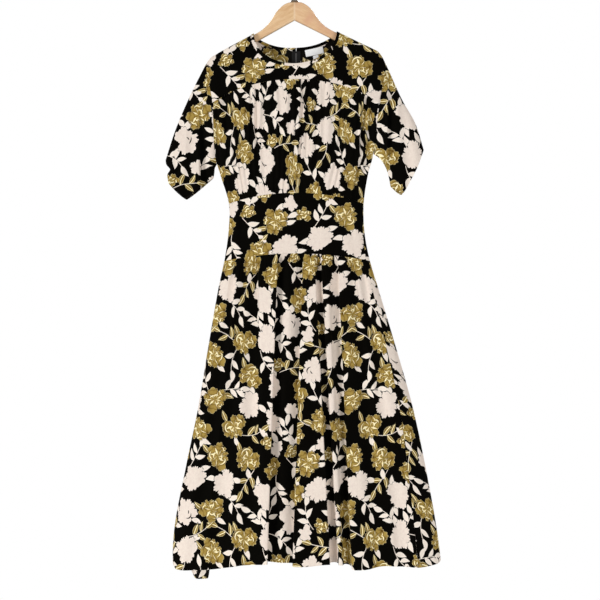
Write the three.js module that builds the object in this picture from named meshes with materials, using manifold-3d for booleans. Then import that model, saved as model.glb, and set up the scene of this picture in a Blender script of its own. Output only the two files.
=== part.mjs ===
/**
 * Maxi dress on a wooden hanger, in millimetres: +Z up, front facing -Y, +X to the viewer's right.
 * The origin is the inside top of the hanger's hook, where it hangs on a rail.
 *
 * Every cloth piece is a thin wall on one shared form, a flattened tube whose outline is the table BODY.
 * A panel is a grid on that form: its columns are angles round the tube, and its rows run between two seams.
 * The angle is -90 degrees at the left fold, 0 in the middle of the front, 90 at the right fold
 * and 180 in the middle of the back.
 */
import * as THREE from "three";
import Module from "manifold-3d";
import { mergeVertices } from "three/addons/utils/BufferGeometryUtils.js";

const wasm = await Module();
wasm.setup();

// ---------------------------------------------------------------- driving dimensions

const WALL = 1.2; // thickness of one cloth wall
const SEAM = 0.3; // gap between two pieces that are sewn together
const LEAN = 0.035; // how far the hanger rises for each millimetre to the right
const HEM_Z = -1450;

const HANGER = {
  halfWidth: 208,
  thickness: 11,
  crownZ: -61,
  underApexZ: -106,
  armTopZ: -132, // top of the arm where its straight part starts
  armStartX: 88,
  topSlope: 0.505,
  underSlope: 0.53,
  edgeRound: 3.5,
};

const HOOK = { wire: 1.9, bend: 21, stemInWood: 22, collarRadius: 10.5, collarHeight: 8 };

const NECK = { centreX: 2, halfWidth: 104, frontZ: -219, backZ: -170, backPower: 2.4, binding: 6, seam: 0.5 };

const BINDING_STAND = 0.6; // how far the binding stands out of the cloth
const SHOULDER = { clearance: 2.1, roundOver: 8, tipX: 204, tipDrop: 0.04 };

// The body's outline and half depth by height, and where its two side seams lie, in degrees round the tube.
const BODY = [
  { z: -120, left: -221, right: 229, depth: 16, seamLeft: -90, seamRight: 90 },
  { z: -220, left: -221, right: 229, depth: 20, seamLeft: -90, seamRight: 90 },
  { z: -315, left: -204, right: 211, depth: 24, seamLeft: -90, seamRight: 90 },
  { z: -445, left: -198, right: 196, depth: 28, seamLeft: -90, seamRight: 90 },
  { z: -490, left: -186, right: 184, depth: 28, seamLeft: -91, seamRight: 89 },
  { z: -565, left: -164, right: 173, depth: 25, seamLeft: -94, seamRight: 84 },
  { z: -635, left: -165, right: 175, depth: 25, seamLeft: -96, seamRight: 77 },
  { z: -705, left: -175, right: 188, depth: 30, seamLeft: -98, seamRight: 71 },
  { z: -775, left: -190, right: 209, depth: 36, seamLeft: -99, seamRight: 67 },
  { z: -925, left: -216, right: 254, depth: 45, seamLeft: -101, seamRight: 63 },
  { z: -1075, left: -241, right: 296, depth: 53, seamLeft: -103, seamRight: 60 },
  { z: -1225, left: -272, right: 328, depth: 60, seamLeft: -104, seamRight: 57 },
  { z: -1375, left: -300, right: 355, depth: 66, seamLeft: -105, seamRight: 55 },
  { z: -1510, left: -306, right: 372, depth: 70, seamLeft: -105, seamRight: 54 },
];
const SIDE_POWER = 0.83; // 1 makes the tube an ellipse, less makes its sides squarer
const OPEN_POWER = 2; // beside an armhole the front and back layers lie almost parallel

// Curved seams across the body: height at the side folds and the rise at the middle.
const YOKE_SEAM = { sideZ: -315, rise: 57, power: 2.1 };
const WAIST_SEAM = { sideZ: -565, rise: 25, power: 2 };
const HIP_SEAM = { sideZ: -708, rise: 18, power: 2 };

// The armholes: the underarm's height and the greatest half depth of the opening.
const ARMHOLE = { leftUnderZ: -466, rightUnderZ: -440, depth: 15, power: 0.6, gap: 0.6 };

// Sleeve sections from the armhole to the cuff: four points from the outer edge to the underarm edge.
const SLEEVE_LEFT = [
  { t: 0.34, ox: -262, oz: -297, ax: -240, az: -372, bx: -217, bz: -436, ix: -199, iz: -476, depth: 19 },
  { t: 0.67, ox: -297, oz: -379, ax: -271, az: -448, bx: -236, bz: -497, ix: -200, iz: -487, depth: 22 },
  { t: 1.0, ox: -322, oz: -455, ax: -301, az: -524, bx: -262, bz: -548, ix: -202, iz: -500, depth: 25 },
];
const SLEEVE_RIGHT = [
  { t: 0.34, ox: 268, oz: -303, ax: 249, az: -362, bx: 229, bz: -420, ix: 217, iz: -456, depth: 19 },
  { t: 0.67, ox: 302, oz: -364, ax: 279, az: -422, bx: 249, bz: -470, ix: 232, iz: -484, depth: 22 },
  { t: 1.0, ox: 323, oz: -430, ax: 303, az: -480, bx: 270, bz: -540, ix: 240, iz: -521, depth: 24 },
];

// Folds of the front skirt: where each valley runs at the top and the hem, its half width and its depth there.
const SKIRT_FOLDS = [
  { topX: -118, hemX: -196, topHalf: 13, hemHalf: 34, topDepth: 4, hemDepth: 11 },
  { topX: -82, hemX: -108, topHalf: 11, hemHalf: 26, topDepth: 6, hemDepth: 13 },
  { topX: -38, hemX: -34, topHalf: 11, hemHalf: 21, topDepth: 10, hemDepth: 30 },
  { topX: 14, hemX: 36, topHalf: 10, hemHalf: 20, topDepth: 6, hemDepth: 12 },
  { topX: 56, hemX: 84, topHalf: 10, hemHalf: 17, topDepth: 9, hemDepth: 16 },
  { topX: 107, hemX: 122, topHalf: 11, hemHalf: 20, topDepth: 9, hemDepth: 28 },
  { topX: 146, hemX: 214, topHalf: 11, hemHalf: 32, topDepth: 4, hemDepth: 12 },
];

// Even waves elsewhere: how many across the panel and how far they stand out.
const BODICE_WAVES = { count: 9, height: 4.5 };
const BACK_SKIRT_WAVES = { width: 60, topHeight: 4, hemHeight: 15, flat: 24 };
const HEM_DIP = { x: -243, half: 38, drop: 58 }; // the back hem hangs lower near the left side

const CENTRE_BACK = { topX: 4, hemX: 60, straightToZ: -250 };
const ZIP = {
  gap: 0.6,
  topZ: -179,
  bottomZ: -800,
  tapeWidth: 22,
  tapeThickness: 0.8,
  teethWidth: 4.4,
  teethThickness: 1.2,
  teethInset: 5,
};
const SLIDER = {
  z: -187,
  width: 6.4,
  height: 9,
  base: 2,
  earThickness: 1.1,
  earHeight: 3.4,
  pinRadius: 0.7,
  pinStandOff: 2.5,
  standOff: 0.6,
};
const PULL = { eyeRadius: 1.9, boreRadius: 1.05, width: 3.4, tabWidth: 5.6, length: 24, thickness: 1.3 };
const LABEL = { x: 50, z: -180, width: 46, height: 17, thickness: 0.6, turn: 12 };
const SIZE_TAB = { x: 54, z: -195, width: 14, height: 13, thickness: 0.5, turn: 12 };

const COLOURS = { print: 0x1b1917, wood: 0xdcb58c, metal: 0x9a9692, tape: 0x2a2a2c, label: 0xf1eee6 };

// ---------------------------------------------------------------- small helpers

const lerp = (a, b, t) => a + (b - a) * t;
const clamp = (v, low, high) => Math.min(high, Math.max(low, v));
const radians = (degrees) => (degrees * Math.PI) / 180;

/** Values at even steps from one number to another, both ends included. */
function evenly(count, from = 0, to = 1) {
  return Array.from({ length: count + 1 }, (_, i) => lerp(from, to, i / count));
}

/** Reads a column of a table at key value k, with a smooth curve through the rows. */
function along(table, key, k, column) {
  const [first, last] = [table[0][key], table.at(-1)[key]];
  const sign = Math.sign(last - first);
  const inside = clamp(sign * k, sign * first, sign * last);
  let i = 0;
  while (i < table.length - 2 && inside > sign * table[i + 1][key]) i += 1;
  const slopeAt = (j) => {
    const a = table[Math.max(j - 1, 0)];
    const b = table[Math.min(j + 1, table.length - 1)];
    return (b[column] - a[column]) / (b[key] - a[key]);
  };
  const [p, q] = [table[i], table[i + 1]];
  const step = q[key] - p[key];
  const t = (sign * inside - p[key]) / step;
  const [t2, t3] = [t * t, t * t * t];
  return (
    (2 * t3 - 3 * t2 + 1) * p[column] +
    (t3 - 2 * t2 + t) * step * slopeAt(i) +
    (3 * t2 - 2 * t3) * q[column] +
    (t3 - t2) * step * slopeAt(i + 1)
  );
}

const body = (z, column) => along(BODY, "z", z, column);
const middleX = (z) => (body(z, "left") + body(z, "right")) / 2;
const halfWidth = (z) => (body(z, "right") - body(z, "left")) / 2;

/** Adds the signed volume of a triangle list, to tell which way its faces point. */
function signedVolume(points, faces) {
  const [a, b, c] = [new THREE.Vector3(), new THREE.Vector3(), new THREE.Vector3()];
  let sum = 0;
  for (const [i, j, k] of faces) sum += a.copy(points[i]).dot(b.copy(points[j]).cross(c.copy(points[k])));
  return sum;
}

/** Turns points and triangles into a geometry whose faces point outwards. */
function closedGeometry(points, faces) {
  const turned = signedVolume(points, faces) < 0 ? faces.map(([i, j, k]) => [i, k, j]) : faces;
  const geometry = new THREE.BufferGeometry().setFromPoints(points);
  geometry.setIndex(turned.flat());
  return geometry;
}

/**
 * Makes a wall between a grid of outer points and the same grid of inner points.
 * With closed set, the last column joins the first.
 */
function wallGeometry(outer, inner, closed = false) {
  const [rows, columns] = [outer.length, outer[0].length];
  const spans = closed ? columns : columns - 1;
  const points = [...outer.flat(), ...inner.flat()];
  const at = (layer, i, j) => (layer * rows + i) * columns + (j % columns);
  const faces = [];
  const quad = (a, b, c, d) => faces.push([a, b, c], [a, c, d]);
  for (let i = 0; i < rows - 1; i += 1) {
    for (let j = 0; j < spans; j += 1) {
      quad(at(0, i, j), at(0, i + 1, j), at(0, i + 1, j + 1), at(0, i, j + 1));
      quad(at(1, i, j), at(1, i, j + 1), at(1, i + 1, j + 1), at(1, i + 1, j));
    }
    if (!closed) {
      const last = columns - 1;
      quad(at(0, i, 0), at(1, i, 0), at(1, i + 1, 0), at(0, i + 1, 0));
      quad(at(0, i, last), at(0, i + 1, last), at(1, i + 1, last), at(1, i, last));
    }
  }
  for (let j = 0; j < spans; j += 1) {
    const low = rows - 1;
    quad(at(0, 0, j), at(0, 0, j + 1), at(1, 0, j + 1), at(1, 0, j));
    quad(at(0, low, j), at(1, low, j), at(1, low, j + 1), at(0, low, j + 1));
  }
  return closedGeometry(points, faces);
}

const part = new THREE.Group();

/** Adds one named mesh with its own material. */
function addMesh(name, geometry, color, roughness = 0.85, metalness = 0) {
  const mesh = new THREE.Mesh(geometry, new THREE.MeshStandardMaterial({ color, roughness, metalness }));
  mesh.name = name;
  part.add(mesh);
  return mesh;
}

/** A geometry as a manifold solid, for joining and cutting. */
function solidOf(geometry) {
  const plain = (geometry.index ? geometry.toNonIndexed() : geometry.clone()).deleteAttribute("normal");
  plain.deleteAttribute("uv");
  const merged = mergeVertices(plain, 1e-3);
  const vertProperties = merged.attributes.position.array;
  const triVerts = new Uint32Array(merged.index.array);
  return new wasm.Manifold(new wasm.Mesh({ numProp: 3, vertProperties, triVerts }));
}

/** A manifold solid as a geometry. */
function geometryOf(solid) {
  const mesh = solid.getMesh();
  const geometry = new THREE.BufferGeometry();
  geometry.setAttribute("position", new THREE.BufferAttribute(new Float32Array(mesh.vertProperties), 3));
  geometry.setIndex(new THREE.BufferAttribute(new Uint32Array(mesh.triVerts), 1));
  return geometry;
}

// ---------------------------------------------------------------- the form that the cloth lies on

/** Height of the dress's shoulder ridge over the hanger's arms. */
function shoulderLine(x) {
  const out = Math.abs(x);
  const straight = HANGER.armTopZ + SHOULDER.clearance - HANGER.topSlope * (out - HANGER.armStartX);
  return straight - SHOULDER.tipDrop * Math.max(out - SHOULDER.tipX, 0) ** 2 + LEAN * x;
}

/** Height of the shoulder line where the neck edge meets it on the side of x, without the lean. */
function neckEndZ(x, half) {
  const cornerX = NECK.centreX + (x < NECK.centreX ? -half : half);
  return shoulderLine(cornerX) - LEAN * cornerX;
}

/** Height of the front neck edge at x, moved away from the neck by an offset. */
function frontNeck(x, offset) {
  const half = NECK.halfWidth + offset;
  const endZ = neckEndZ(x, half);
  const across = clamp((x - NECK.centreX) / half, -1, 1);
  return endZ - (endZ - NECK.frontZ + offset) * Math.sqrt(1 - across * across) + LEAN * x;
}

/** Height of the back neck edge at x, moved away from the neck by an offset. */
function backNeck(x, offset) {
  const half = NECK.halfWidth + offset;
  const endZ = neckEndZ(x, half);
  const across = clamp(Math.abs(x - NECK.centreX) / half, 0, 1);
  return endZ - (endZ - NECK.backZ + offset) * (1 - across ** NECK.backPower) + LEAN * x;
}

/** Top edge of a panel at x: the neck edge between the shoulders, the shoulder seam beyond them. */
function topEdge(x, neck) {
  const offset = NECK.binding + NECK.seam;
  return Math.abs(x - NECK.centreX) < NECK.halfWidth + offset ? neck(x, offset) : shoulderLine(x);
}

/** Whether a height lies clear of the underarm, where a panel's side edge is an armhole's edge. */
const inArmhole = (side, z) => z > (side < 0 ? ARMHOLE.leftUnderZ : ARMHOLE.rightUnderZ) + 4;

/** How open the armhole is, from 0 at the shoulder and underarm to 1 between them. */
function armholeOpening(side, z) {
  const topZ = shoulderLine(side < 0 ? BODY[0].left : BODY[0].right);
  const underZ = side < 0 ? ARMHOLE.leftUnderZ : ARMHOLE.rightUnderZ;
  const share = clamp((topZ - z) / (topZ - underZ), 0, 1);
  return Math.sin(Math.PI * share) ** ARMHOLE.power;
}

/** Outer point of the tube at an angle in radians and a height, with a fold that moves it inwards. */
function formPoint(angle, z, fold = 0) {
  const [sine, cosine] = [Math.sin(angle), Math.cos(angle)];
  const x = middleX(z) + halfWidth(z) * sine;
  const opening = armholeOpening(sine, z);
  const edge = ARMHOLE.depth * opening;
  const full = body(z, "depth");
  const power = lerp(SIDE_POWER, OPEN_POWER, opening);
  const below = clamp((shoulderLine(x) - z) / SHOULDER.roundOver, 0, 1);
  const rounding = Math.sqrt(1 - (1 - below) ** 2);
  const depth = SEAM / 2 + rounding * (edge + (full - edge) * Math.abs(cosine) ** power);
  const face = cosine > -1e-9 ? -1 : 1;
  return new THREE.Vector3(x, face * Math.max(depth - fold, SEAM / 2), z);
}

/** Angle of the front or back of the tube at x, in radians. */
function angleAt(x, z, back = false) {
  const angle = Math.asin(clamp((x - middleX(z)) / halfWidth(z), -1, 1));
  return back ? Math.PI - angle : angle;
}

/** Where the centre-back seam runs: straight down at the top, then towards the right as the skirt spreads. */
function centreBackX(z) {
  const { topX, hemX, straightToZ } = CENTRE_BACK;
  return lerp(topX, hemX, clamp((straightToZ - z) / (straightToZ - HEM_Z), 0, 1.1));
}

/** Height of a curved seam at an angle round the tube. */
const seamZ = (seam, angle) => seam.sideZ + seam.rise * (1 - Math.abs(Math.sin(angle)) ** seam.power);

/** Moves an angle along the tube by a distance, to leave half a seam's gap. */
function stepAngle(angle, z, distance) {
  const cosine = Math.max(Math.abs(Math.cos(angle)), 0.02);
  const speedX = halfWidth(z) * cosine;
  const speedY = body(z, "depth") * SIDE_POWER * cosine ** (SIDE_POWER - 1) * Math.abs(Math.sin(angle));
  return angle + distance / Math.hypot(speedX, speedY);
}

/** Outward normal of a surface given as a function of angle and height. */
function surfaceNormal(surface, angle, z) {
  const [turn, rise] = [0.004, 0.3];
  const across = surface(angle + turn, z).sub(surface(angle - turn, z));
  const upward = surface(angle, z + rise).sub(surface(angle, z - rise));
  return across.cross(upward).normalize();
}

/**
 * Makes a panel from rows of cells { angle, z } on a surface function of the two.
 * rules.level(row) keeps a row's wall level, rules.opening(row, column) marks the cells on an armhole's edge,
 * and rules.face keeps the wall above the underarm on the front (-1) or the back (1).
 */
function panelGeometry(cells, surface, rules) {
  const outer = cells.map((row) => row.map(({ angle, z }) => surface(angle, z)));
  const inner = cells.map((row, i) =>
    row.map(({ angle, z }, j) => {
      const opening = rules.opening && rules.opening(i, j, z);
      const middle = rules.face > 0 ? Math.PI : 0;
      const normal = surfaceNormal(surface, opening ? lerp(angle, middle, 0.08) : angle, z);
      if (opening) normal.setX(0);
      if (rules.level(i)) normal.setZ(0);
      const point = outer[i][j].clone().addScaledVector(normal.normalize(), -WALL);
      const above = rules.face && z > ARMHOLE.rightUnderZ;
      return above ? point.setY(rules.face * Math.max(rules.face * point.y, SEAM / 2)) : point;
    }),
  );
  return wallGeometry(outer, inner);
}

/** Finds a cell whose angle depends on its height and whose height depends on its angle. */
function settle(angleOf, zOf, guess) {
  let angle = guess;
  for (let round = 0; round < 8; round += 1) angle = angleOf(zOf(angle));
  return { angle, z: zOf(angle) };
}

/** Rows of cells between two seams, with the panel's two edge angles given by height. */
function seamCells(rows, columns, topAt, bottomAt, edgesAt) {
  return evenly(rows).map((v) =>
    evenly(columns).map((u) => {
      const angleOf = (z) => lerp(...edgesAt(z), u);
      return settle(angleOf, (angle) => lerp(topAt(angle), bottomAt(angle), v), angleOf(topAt(0)));
    }),
  );
}

// ---------------------------------------------------------------- hanger

/** The hanger's outline in (x, z), leaning a little, with a round crown and tapered arms. */
function hangerShape() {
  const { halfWidth: tip, crownZ, underApexZ, armTopZ, armStartX, topSlope, underSlope } = HANGER;
  const crown = [
    [0, crownZ],
    [17, crownZ - 1.5],
    [31, crownZ - 9],
    [45, crownZ - 23],
    [56, crownZ - 40],
    [69, crownZ - 56],
    [armStartX, armTopZ],
  ];
  const topAt = (x) => armTopZ - topSlope * (x - armStartX);
  const underAt = (x) => underApexZ - underSlope * x;
  const tipBend = 8;
  const half = [
    ...crown,
    [tip - tipBend, topAt(tip - tipBend)],
    [tip - 2, topAt(tip - tipBend) - 5],
    [tip, topAt(tip) - 8],
    [tip - 3, underAt(tip) + 3],
    [tip - tipBend - 2, underAt(tip - tipBend)],
  ];
  const apex = [0, underApexZ];
  const outline = [...half, apex, ...half.slice(1).reverse().map(([x, z]) => [-x, z])];
  return new THREE.Shape(outline.map(([x, z]) => new THREE.Vector2(x, z + LEAN * x)));
}

/** Extrudes an (x, z) shape through a thickness centred on y = 0, with rounded edges. */
function slab(shape, thickness, round, segments = 3) {
  const geometry = new THREE.ExtrudeGeometry(shape, {
    depth: thickness - 2 * round,
    bevelEnabled: round > 0,
    bevelThickness: round,
    bevelSize: round,
    bevelOffset: -round,
    bevelSegments: segments,
    curveSegments: 12,
  });
  return geometry.rotateX(Math.PI / 2).translate(0, thickness / 2 - round, 0);
}

/** An upright cylinder between two heights. */
function uprightCylinder(radius, lowZ, highZ, sides = 24) {
  const geometry = new THREE.CylinderGeometry(radius, radius, highZ - lowZ, sides);
  return geometry.rotateX(Math.PI / 2).translate(0, 0, (lowZ + highZ) / 2);
}

function buildHanger() {
  const whole = solidOf(slab(hangerShape(), HANGER.thickness, HANGER.edgeRound));
  const bore = solidOf(uprightCylinder(HOOK.wire + SEAM, HANGER.crownZ - HOOK.stemInWood - SEAM, HANGER.crownZ + 5));
  const drilled = whole.subtract(bore);
  for (const [name, side] of [["hanger_arm_left", -1], ["hanger_arm_right", 1]]) {
    const reach = HANGER.halfWidth * 2;
    const block = new THREE.BoxGeometry(reach, 60, 400).translate(side * (reach / 2 + SEAM / 2), 0, -150);
    addMesh(name, geometryOf(drilled.intersect(solidOf(block))), COLOURS.wood, 0.35);
  }
}

/** The hook: a straight stem, a round bend whose inside top is the origin, and a short open end. */
function buildHook() {
  const centreZ = -HOOK.bend;
  const radius = HOOK.bend + HOOK.wire;
  const stemTop = new THREE.Vector3(0, 0, centreZ - radius - 4);
  const path = new THREE.CurvePath();
  path.add(new THREE.LineCurve3(new THREE.Vector3(0, 0, HANGER.crownZ - HOOK.stemInWood), stemTop));
  const joinAngle = radians(-38);
  const join = new THREE.Vector3(radius * Math.cos(joinAngle), 0, centreZ + radius * Math.sin(joinAngle));
  const low = new THREE.Vector3(0, 0, stemTop.z + 6);
  const side = new THREE.Vector3(join.x - 7, 0, join.z - 9);
  path.add(new THREE.CubicBezierCurve3(stemTop, low, side, join));
  const arc = evenly(14, joinAngle, radians(205)).map(
    (a) => new THREE.Vector3(radius * Math.cos(a), 0, centreZ + radius * Math.sin(a)),
  );
  path.add(new THREE.CatmullRomCurve3(arc));
  const wire = new THREE.Shape().absarc(0, 0, HOOK.wire, 0, Math.PI * 2);
  const line = new THREE.CatmullRomCurve3(path.getSpacedPoints(40), false, "centripetal");
  const sweep = { steps: 40, extrudePath: line, bevelEnabled: false, curveSegments: 6 };
  const geometry = new THREE.ExtrudeGeometry(wire, sweep);
  addMesh("hanger_hook", geometry, COLOURS.metal, 0.25, 0.9);

  const [hole, outer, high] = [HOOK.wire + SEAM, HOOK.collarRadius, HOOK.collarHeight];
  const profile = [
    [hole, 0],
    [outer, 0],
    [outer, high * 0.35],
    [outer * 0.8, high * 0.8],
    [outer * 0.5, high],
    [hole, high],
    [hole, 0],
  ].map(([r, h]) => new THREE.Vector2(r, h));
  const collar = new THREE.LatheGeometry(profile, 32).rotateX(Math.PI / 2).translate(0, 0, HANGER.crownZ + SEAM);
  addMesh("hanger_collar", collar, COLOURS.metal, 0.25, 0.9);
}

// ---------------------------------------------------------------- bodice

/** Distances below a panel's top edge for its first rows, fine where the cloth turns over the shoulder. */
const TOP_ROWS = [0, 0.8, 3, 8];

/** Angles of the neck edge's points in degrees, close together where it meets the shoulders. */
const NECK_STEPS = [-90, -88, -85, -80, -70, -57, -43, -28, -14, 0, 14, 28, 43, 57, 70, 80, 85, 88, 90];

/** How far along the shoulder from its tip to the neck the columns stand. */
const SHOULDER_STEPS = [0, 0.06, 0.13, 0.2, 0.32, 0.48, 0.65, 0.82];

/** Columns of a panel along its top edge between two places, each with its angle and top height. */
function topColumns(fromX, toX, neck, back) {
  const z = BODY[0].z;
  const neckHalf = NECK.halfWidth + NECK.binding + NECK.seam;
  const neckXs = NECK_STEPS.map((a) => NECK.centreX + neckHalf * Math.sin(radians(a)));
  const [leftX, rightX] = [body(z, "left"), body(z, "right")];
  const left = SHOULDER_STEPS.map((share) => lerp(leftX, neckXs[0], share));
  const right = SHOULDER_STEPS.map((share) => lerp(rightX, neckXs.at(-1), share)).reverse();
  const between = [...left, ...neckXs, ...right].filter((x) => x > fromX + 4 && x < toX - 4);
  return [fromX, ...between, toX].map((x) => {
    const topZ = topEdge(x, neck);
    if (x > leftX && x < rightX) return { angle: angleAt(x, topZ, back), topZ };
    const tip = x > 0 ? Math.PI / 2 : -Math.PI / 2;
    return { angle: back ? Math.PI - tip : tip, topZ };
  });
}

/** Rows of cells from a top edge down to a seam; angleOf(j, z) gives a column's angle at a height. */
function hangingCells(columns, bottomAt, lowerRows, angleOf) {
  const cell = (j, z) => ({ angle: angleOf(j, z), z });
  const upper = TOP_ROWS.map((down) => columns.map(({ topZ }, j) => cell(j, topZ - down)));
  const lower = evenly(lowerRows).slice(1).map((v) =>
    columns.map(({ angle: guess, topZ }, j) => {
      const zOf = (angle) => lerp(topZ - TOP_ROWS.at(-1), bottomAt(angle), v);
      return settle((z) => angleOf(j, z), zOf, guess);
    }),
  );
  return [...upper, ...lower];
}

function buildYoke() {
  const columns = topColumns(BODY[0].left, BODY[0].right, frontNeck, false);
  const bottom = (angle) => seamZ(YOKE_SEAM, angle) + SEAM / 2;
  const cells = hangingCells(columns, bottom, 4, (j) => columns[j].angle);
  const last = columns.length - 1;
  const rules = {
    level: (i) => i === cells.length - 1,
    opening: (i, j) => j === 0 || j === last,
    face: -1,
  };
  addMesh("front_yoke", panelGeometry(cells, formPoint, rules), COLOURS.print);
}

/** Edge angles of a front panel at a height, half a seam's gap inside its side seams. */
function frontEdges(z) {
  const left = stepAngle(radians(body(z, "seamLeft")), z, SEAM * 0.6);
  const right = stepAngle(radians(body(z, "seamRight")), z, -SEAM * 0.6);
  return [left, right];
}

function buildFrontBodice() {
  const { count, height } = BODICE_WAVES;
  const top = (angle) => seamZ(YOKE_SEAM, angle) - SEAM / 2;
  const bottom = (angle) => seamZ(WAIST_SEAM, angle) + SEAM / 2;
  const cells = seamCells(8, count * 4, top, bottom, frontEdges);
  const surface = (angle, z) => {
    const v = clamp((top(angle) - z) / (top(angle) - bottom(angle)), 0, 1);
    const [from, to] = frontEdges(z);
    const wave = (1 - Math.cos((2 * Math.PI * count * (angle - from)) / (to - from))) / 2;
    return formPoint(angle, z, wave * height * Math.sin(Math.PI * v) * Math.max(Math.cos(angle), 0));
  };
  const last = cells[0].length - 1;
  const rules = {
    level: () => true,
    opening: (i, j, z) => (j === 0 && inArmhole(-1, z)) || (j === last && inArmhole(1, z)),
    face: -1,
  };
  addMesh("front_bodice", panelGeometry(cells, surface, rules), COLOURS.print);
}

/** Angle of the centre-back seam at a height, half a gap to one side of it. */
function centreBackAngle(z, side) {
  return angleAt(centreBackX(z) + (side * ZIP.gap) / 2, z, true);
}

/** Side seam angle of a back panel at a height, on the left (-1) or the right (1). */
function backEdge(z, side) {
  const seam = side > 0 ? radians(body(z, "seamRight")) : Math.PI * 2 + radians(body(z, "seamLeft"));
  return stepAngle(seam, z, side * SEAM * 0.6);
}

/** Edge angles of a back panel: its side seam and the centre-back seam, in rising order. */
function backEdges(side) {
  if (side > 0) return (z) => [backEdge(z, 1), centreBackAngle(z, 1)];
  return (z) => [centreBackAngle(z, -1), backEdge(z, -1)];
}

function buildBackBodice(name, side) {
  const middle = centreBackX(NECK.backZ) + (side * ZIP.gap) / 2;
  const fromTo = side < 0 ? [BODY[0].left, middle] : [middle, BODY[0].right];
  const columns = topColumns(...fromTo, backNeck, true);
  const outer = side < 0 ? 0 : columns.length - 1;
  const span = (z) => centreBackAngle(z, side) - backEdge(z, side);
  const shares = columns.map(({ angle, topZ }) => Math.max((angle - backEdge(topZ, side)) / span(topZ), 0));
  const angleOf = (j, z) => backEdge(z, side) + span(z) * shares[j];
  const cells = hangingCells(columns, (a) => seamZ(WAIST_SEAM, a) + SEAM / 2, 9, angleOf);
  const rules = {
    level: (i) => i > TOP_ROWS.length + 1,
    opening: (i, j, z) => j === outer && inArmhole(side, z),
    face: 1,
  };
  addMesh(name, panelGeometry(cells, formPoint, rules), COLOURS.print);
}

// ---------------------------------------------------------------- midriff band and skirt

const LEVEL = { level: () => true };

function buildMidriff() {
  const top = (angle) => seamZ(WAIST_SEAM, angle) - SEAM / 2;
  const bottom = (angle) => seamZ(HIP_SEAM, angle) + SEAM / 2;
  const band = (name, columns, edges) => {
    const cells = seamCells(4, columns, top, bottom, edges);
    addMesh(name, panelGeometry(cells, formPoint, LEVEL), COLOURS.print);
  };
  band("front_midriff", 20, frontEdges);
  band("back_midriff_left", 12, backEdges(-1));
  band("back_midriff_right", 12, backEdges(1));
}

/** Depth of the front skirt's folds at a place: smooth valleys that fade in below the seam. */
function frontFold(x, v) {
  const valleys = SKIRT_FOLDS.map((f) => {
    const half = lerp(f.topHalf, f.hemHalf, v);
    return lerp(f.topDepth, f.hemDepth, v) * Math.exp(-(((x - lerp(f.topX, f.hemX, v)) / half) ** 2));
  });
  return clamp(v / 0.06, 0, 1) * valleys.reduce((a, b) => a + b, 0);
}

/** Depth of the back skirt's even waves, flat beside the zip. */
function backFold(x, v, centreX) {
  const { width, topHeight, hemHeight, flat } = BACK_SKIRT_WAVES;
  const away = Math.abs(x - centreX);
  const grow = clamp((away - flat) / flat, 0, 1) * clamp(v / 0.06, 0, 1);
  const phase = (2 * Math.PI * (away - flat)) / lerp(width, width * 1.8, v);
  return (grow * lerp(topHeight, hemHeight, v) * (1 - Math.cos(phase))) / 2;
}

/** Height of the hem at an angle: level, but lower behind near the left side. */
function hemZ(angle) {
  const behind = clamp(-Math.cos(angle) * 4, 0, 1);
  const x = middleX(HEM_Z) + halfWidth(HEM_Z) * Math.sin(angle);
  return HEM_Z - behind * HEM_DIP.drop * Math.exp(-(((x - HEM_DIP.x) / HEM_DIP.half) ** 2));
}

function buildSkirt() {
  const top = (angle) => seamZ(HIP_SEAM, angle) - SEAM / 2;
  const share = (angle, z) => clamp((top(angle) - z) / (top(angle) - hemZ(angle)), 0, 1);
  const xOf = (angle, z) => middleX(z) + halfWidth(z) * Math.sin(angle);
  const calm = (cosine) => clamp((cosine - 0.3) * 3, 0, 1);
  const front = (angle, z) => {
    const fold = frontFold(xOf(angle, z), share(angle, z));
    return formPoint(angle, z, calm(Math.cos(angle)) * fold);
  };
  const back = (angle, z) => {
    const fold = backFold(xOf(angle, z), share(angle, z), centreBackX(z));
    return formPoint(angle, z, calm(-Math.cos(angle)) * fold);
  };
  const panel = (name, columns, edges, surface) => {
    const cells = seamCells(9, columns, top, hemZ, edges);
    addMesh(name, panelGeometry(cells, surface, LEVEL), COLOURS.print);
  };
  panel("front_skirt", 46, frontEdges, front);
  panel("back_skirt_left", 17, backEdges(-1), back);
  panel("back_skirt_right", 17, backEdges(1), back);
}

// ---------------------------------------------------------------- sleeves

/** A point of the armhole seam, from the shoulder (0) to the underarm (1), on the front (-1) or back (1). */
function armholePoint(side, share, face) {
  const topZ = shoulderLine(side < 0 ? BODY[0].left : BODY[0].right);
  const underZ = side < 0 ? ARMHOLE.leftUnderZ : ARMHOLE.rightUnderZ;
  const z = lerp(topZ, underZ, share);
  const edge = formPoint((side * Math.PI) / 2, z);
  return new THREE.Vector3(edge.x + side * ARMHOLE.gap, face * Math.abs(edge.y), z);
}

const SLEEVE_POINTS = ["o", "a", "b", "i"];

/** A sleeve's section table with the armhole seam added as its first row. */
function sleeveRows(table, side) {
  const first = { t: 0, depth: ARMHOLE.depth };
  SLEEVE_POINTS.forEach((key, k) => {
    const seam = armholePoint(side, k / 3, -1);
    first[key + "x"] = seam.x;
    first[key + "z"] = seam.z;
  });
  return [first, ...table];
}

/** A point of a sleeve: t runs from armhole to cuff, share from the outer edge to the underarm edge. */
function sleevePoint(rows, side, t, share, face) {
  const start = armholePoint(side, share, face);
  if (t === 0) return start;
  const across = SLEEVE_POINTS.map((key, k) => {
    return { s: k / 3, x: along(rows, "t", t, key + "x"), z: along(rows, "t", t, key + "z") };
  });
  const depth = SEAM / 2 + along(rows, "t", t, "depth") * Math.sin(Math.PI * share) ** ARMHOLE.power;
  const nearSeam = clamp(1 - t / 0.3, 0, 1) ** 2;
  const y = lerp(face * depth, start.y, nearSeam);
  return new THREE.Vector3(along(across, "s", share, "x"), y, along(across, "s", share, "z"));
}

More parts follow.
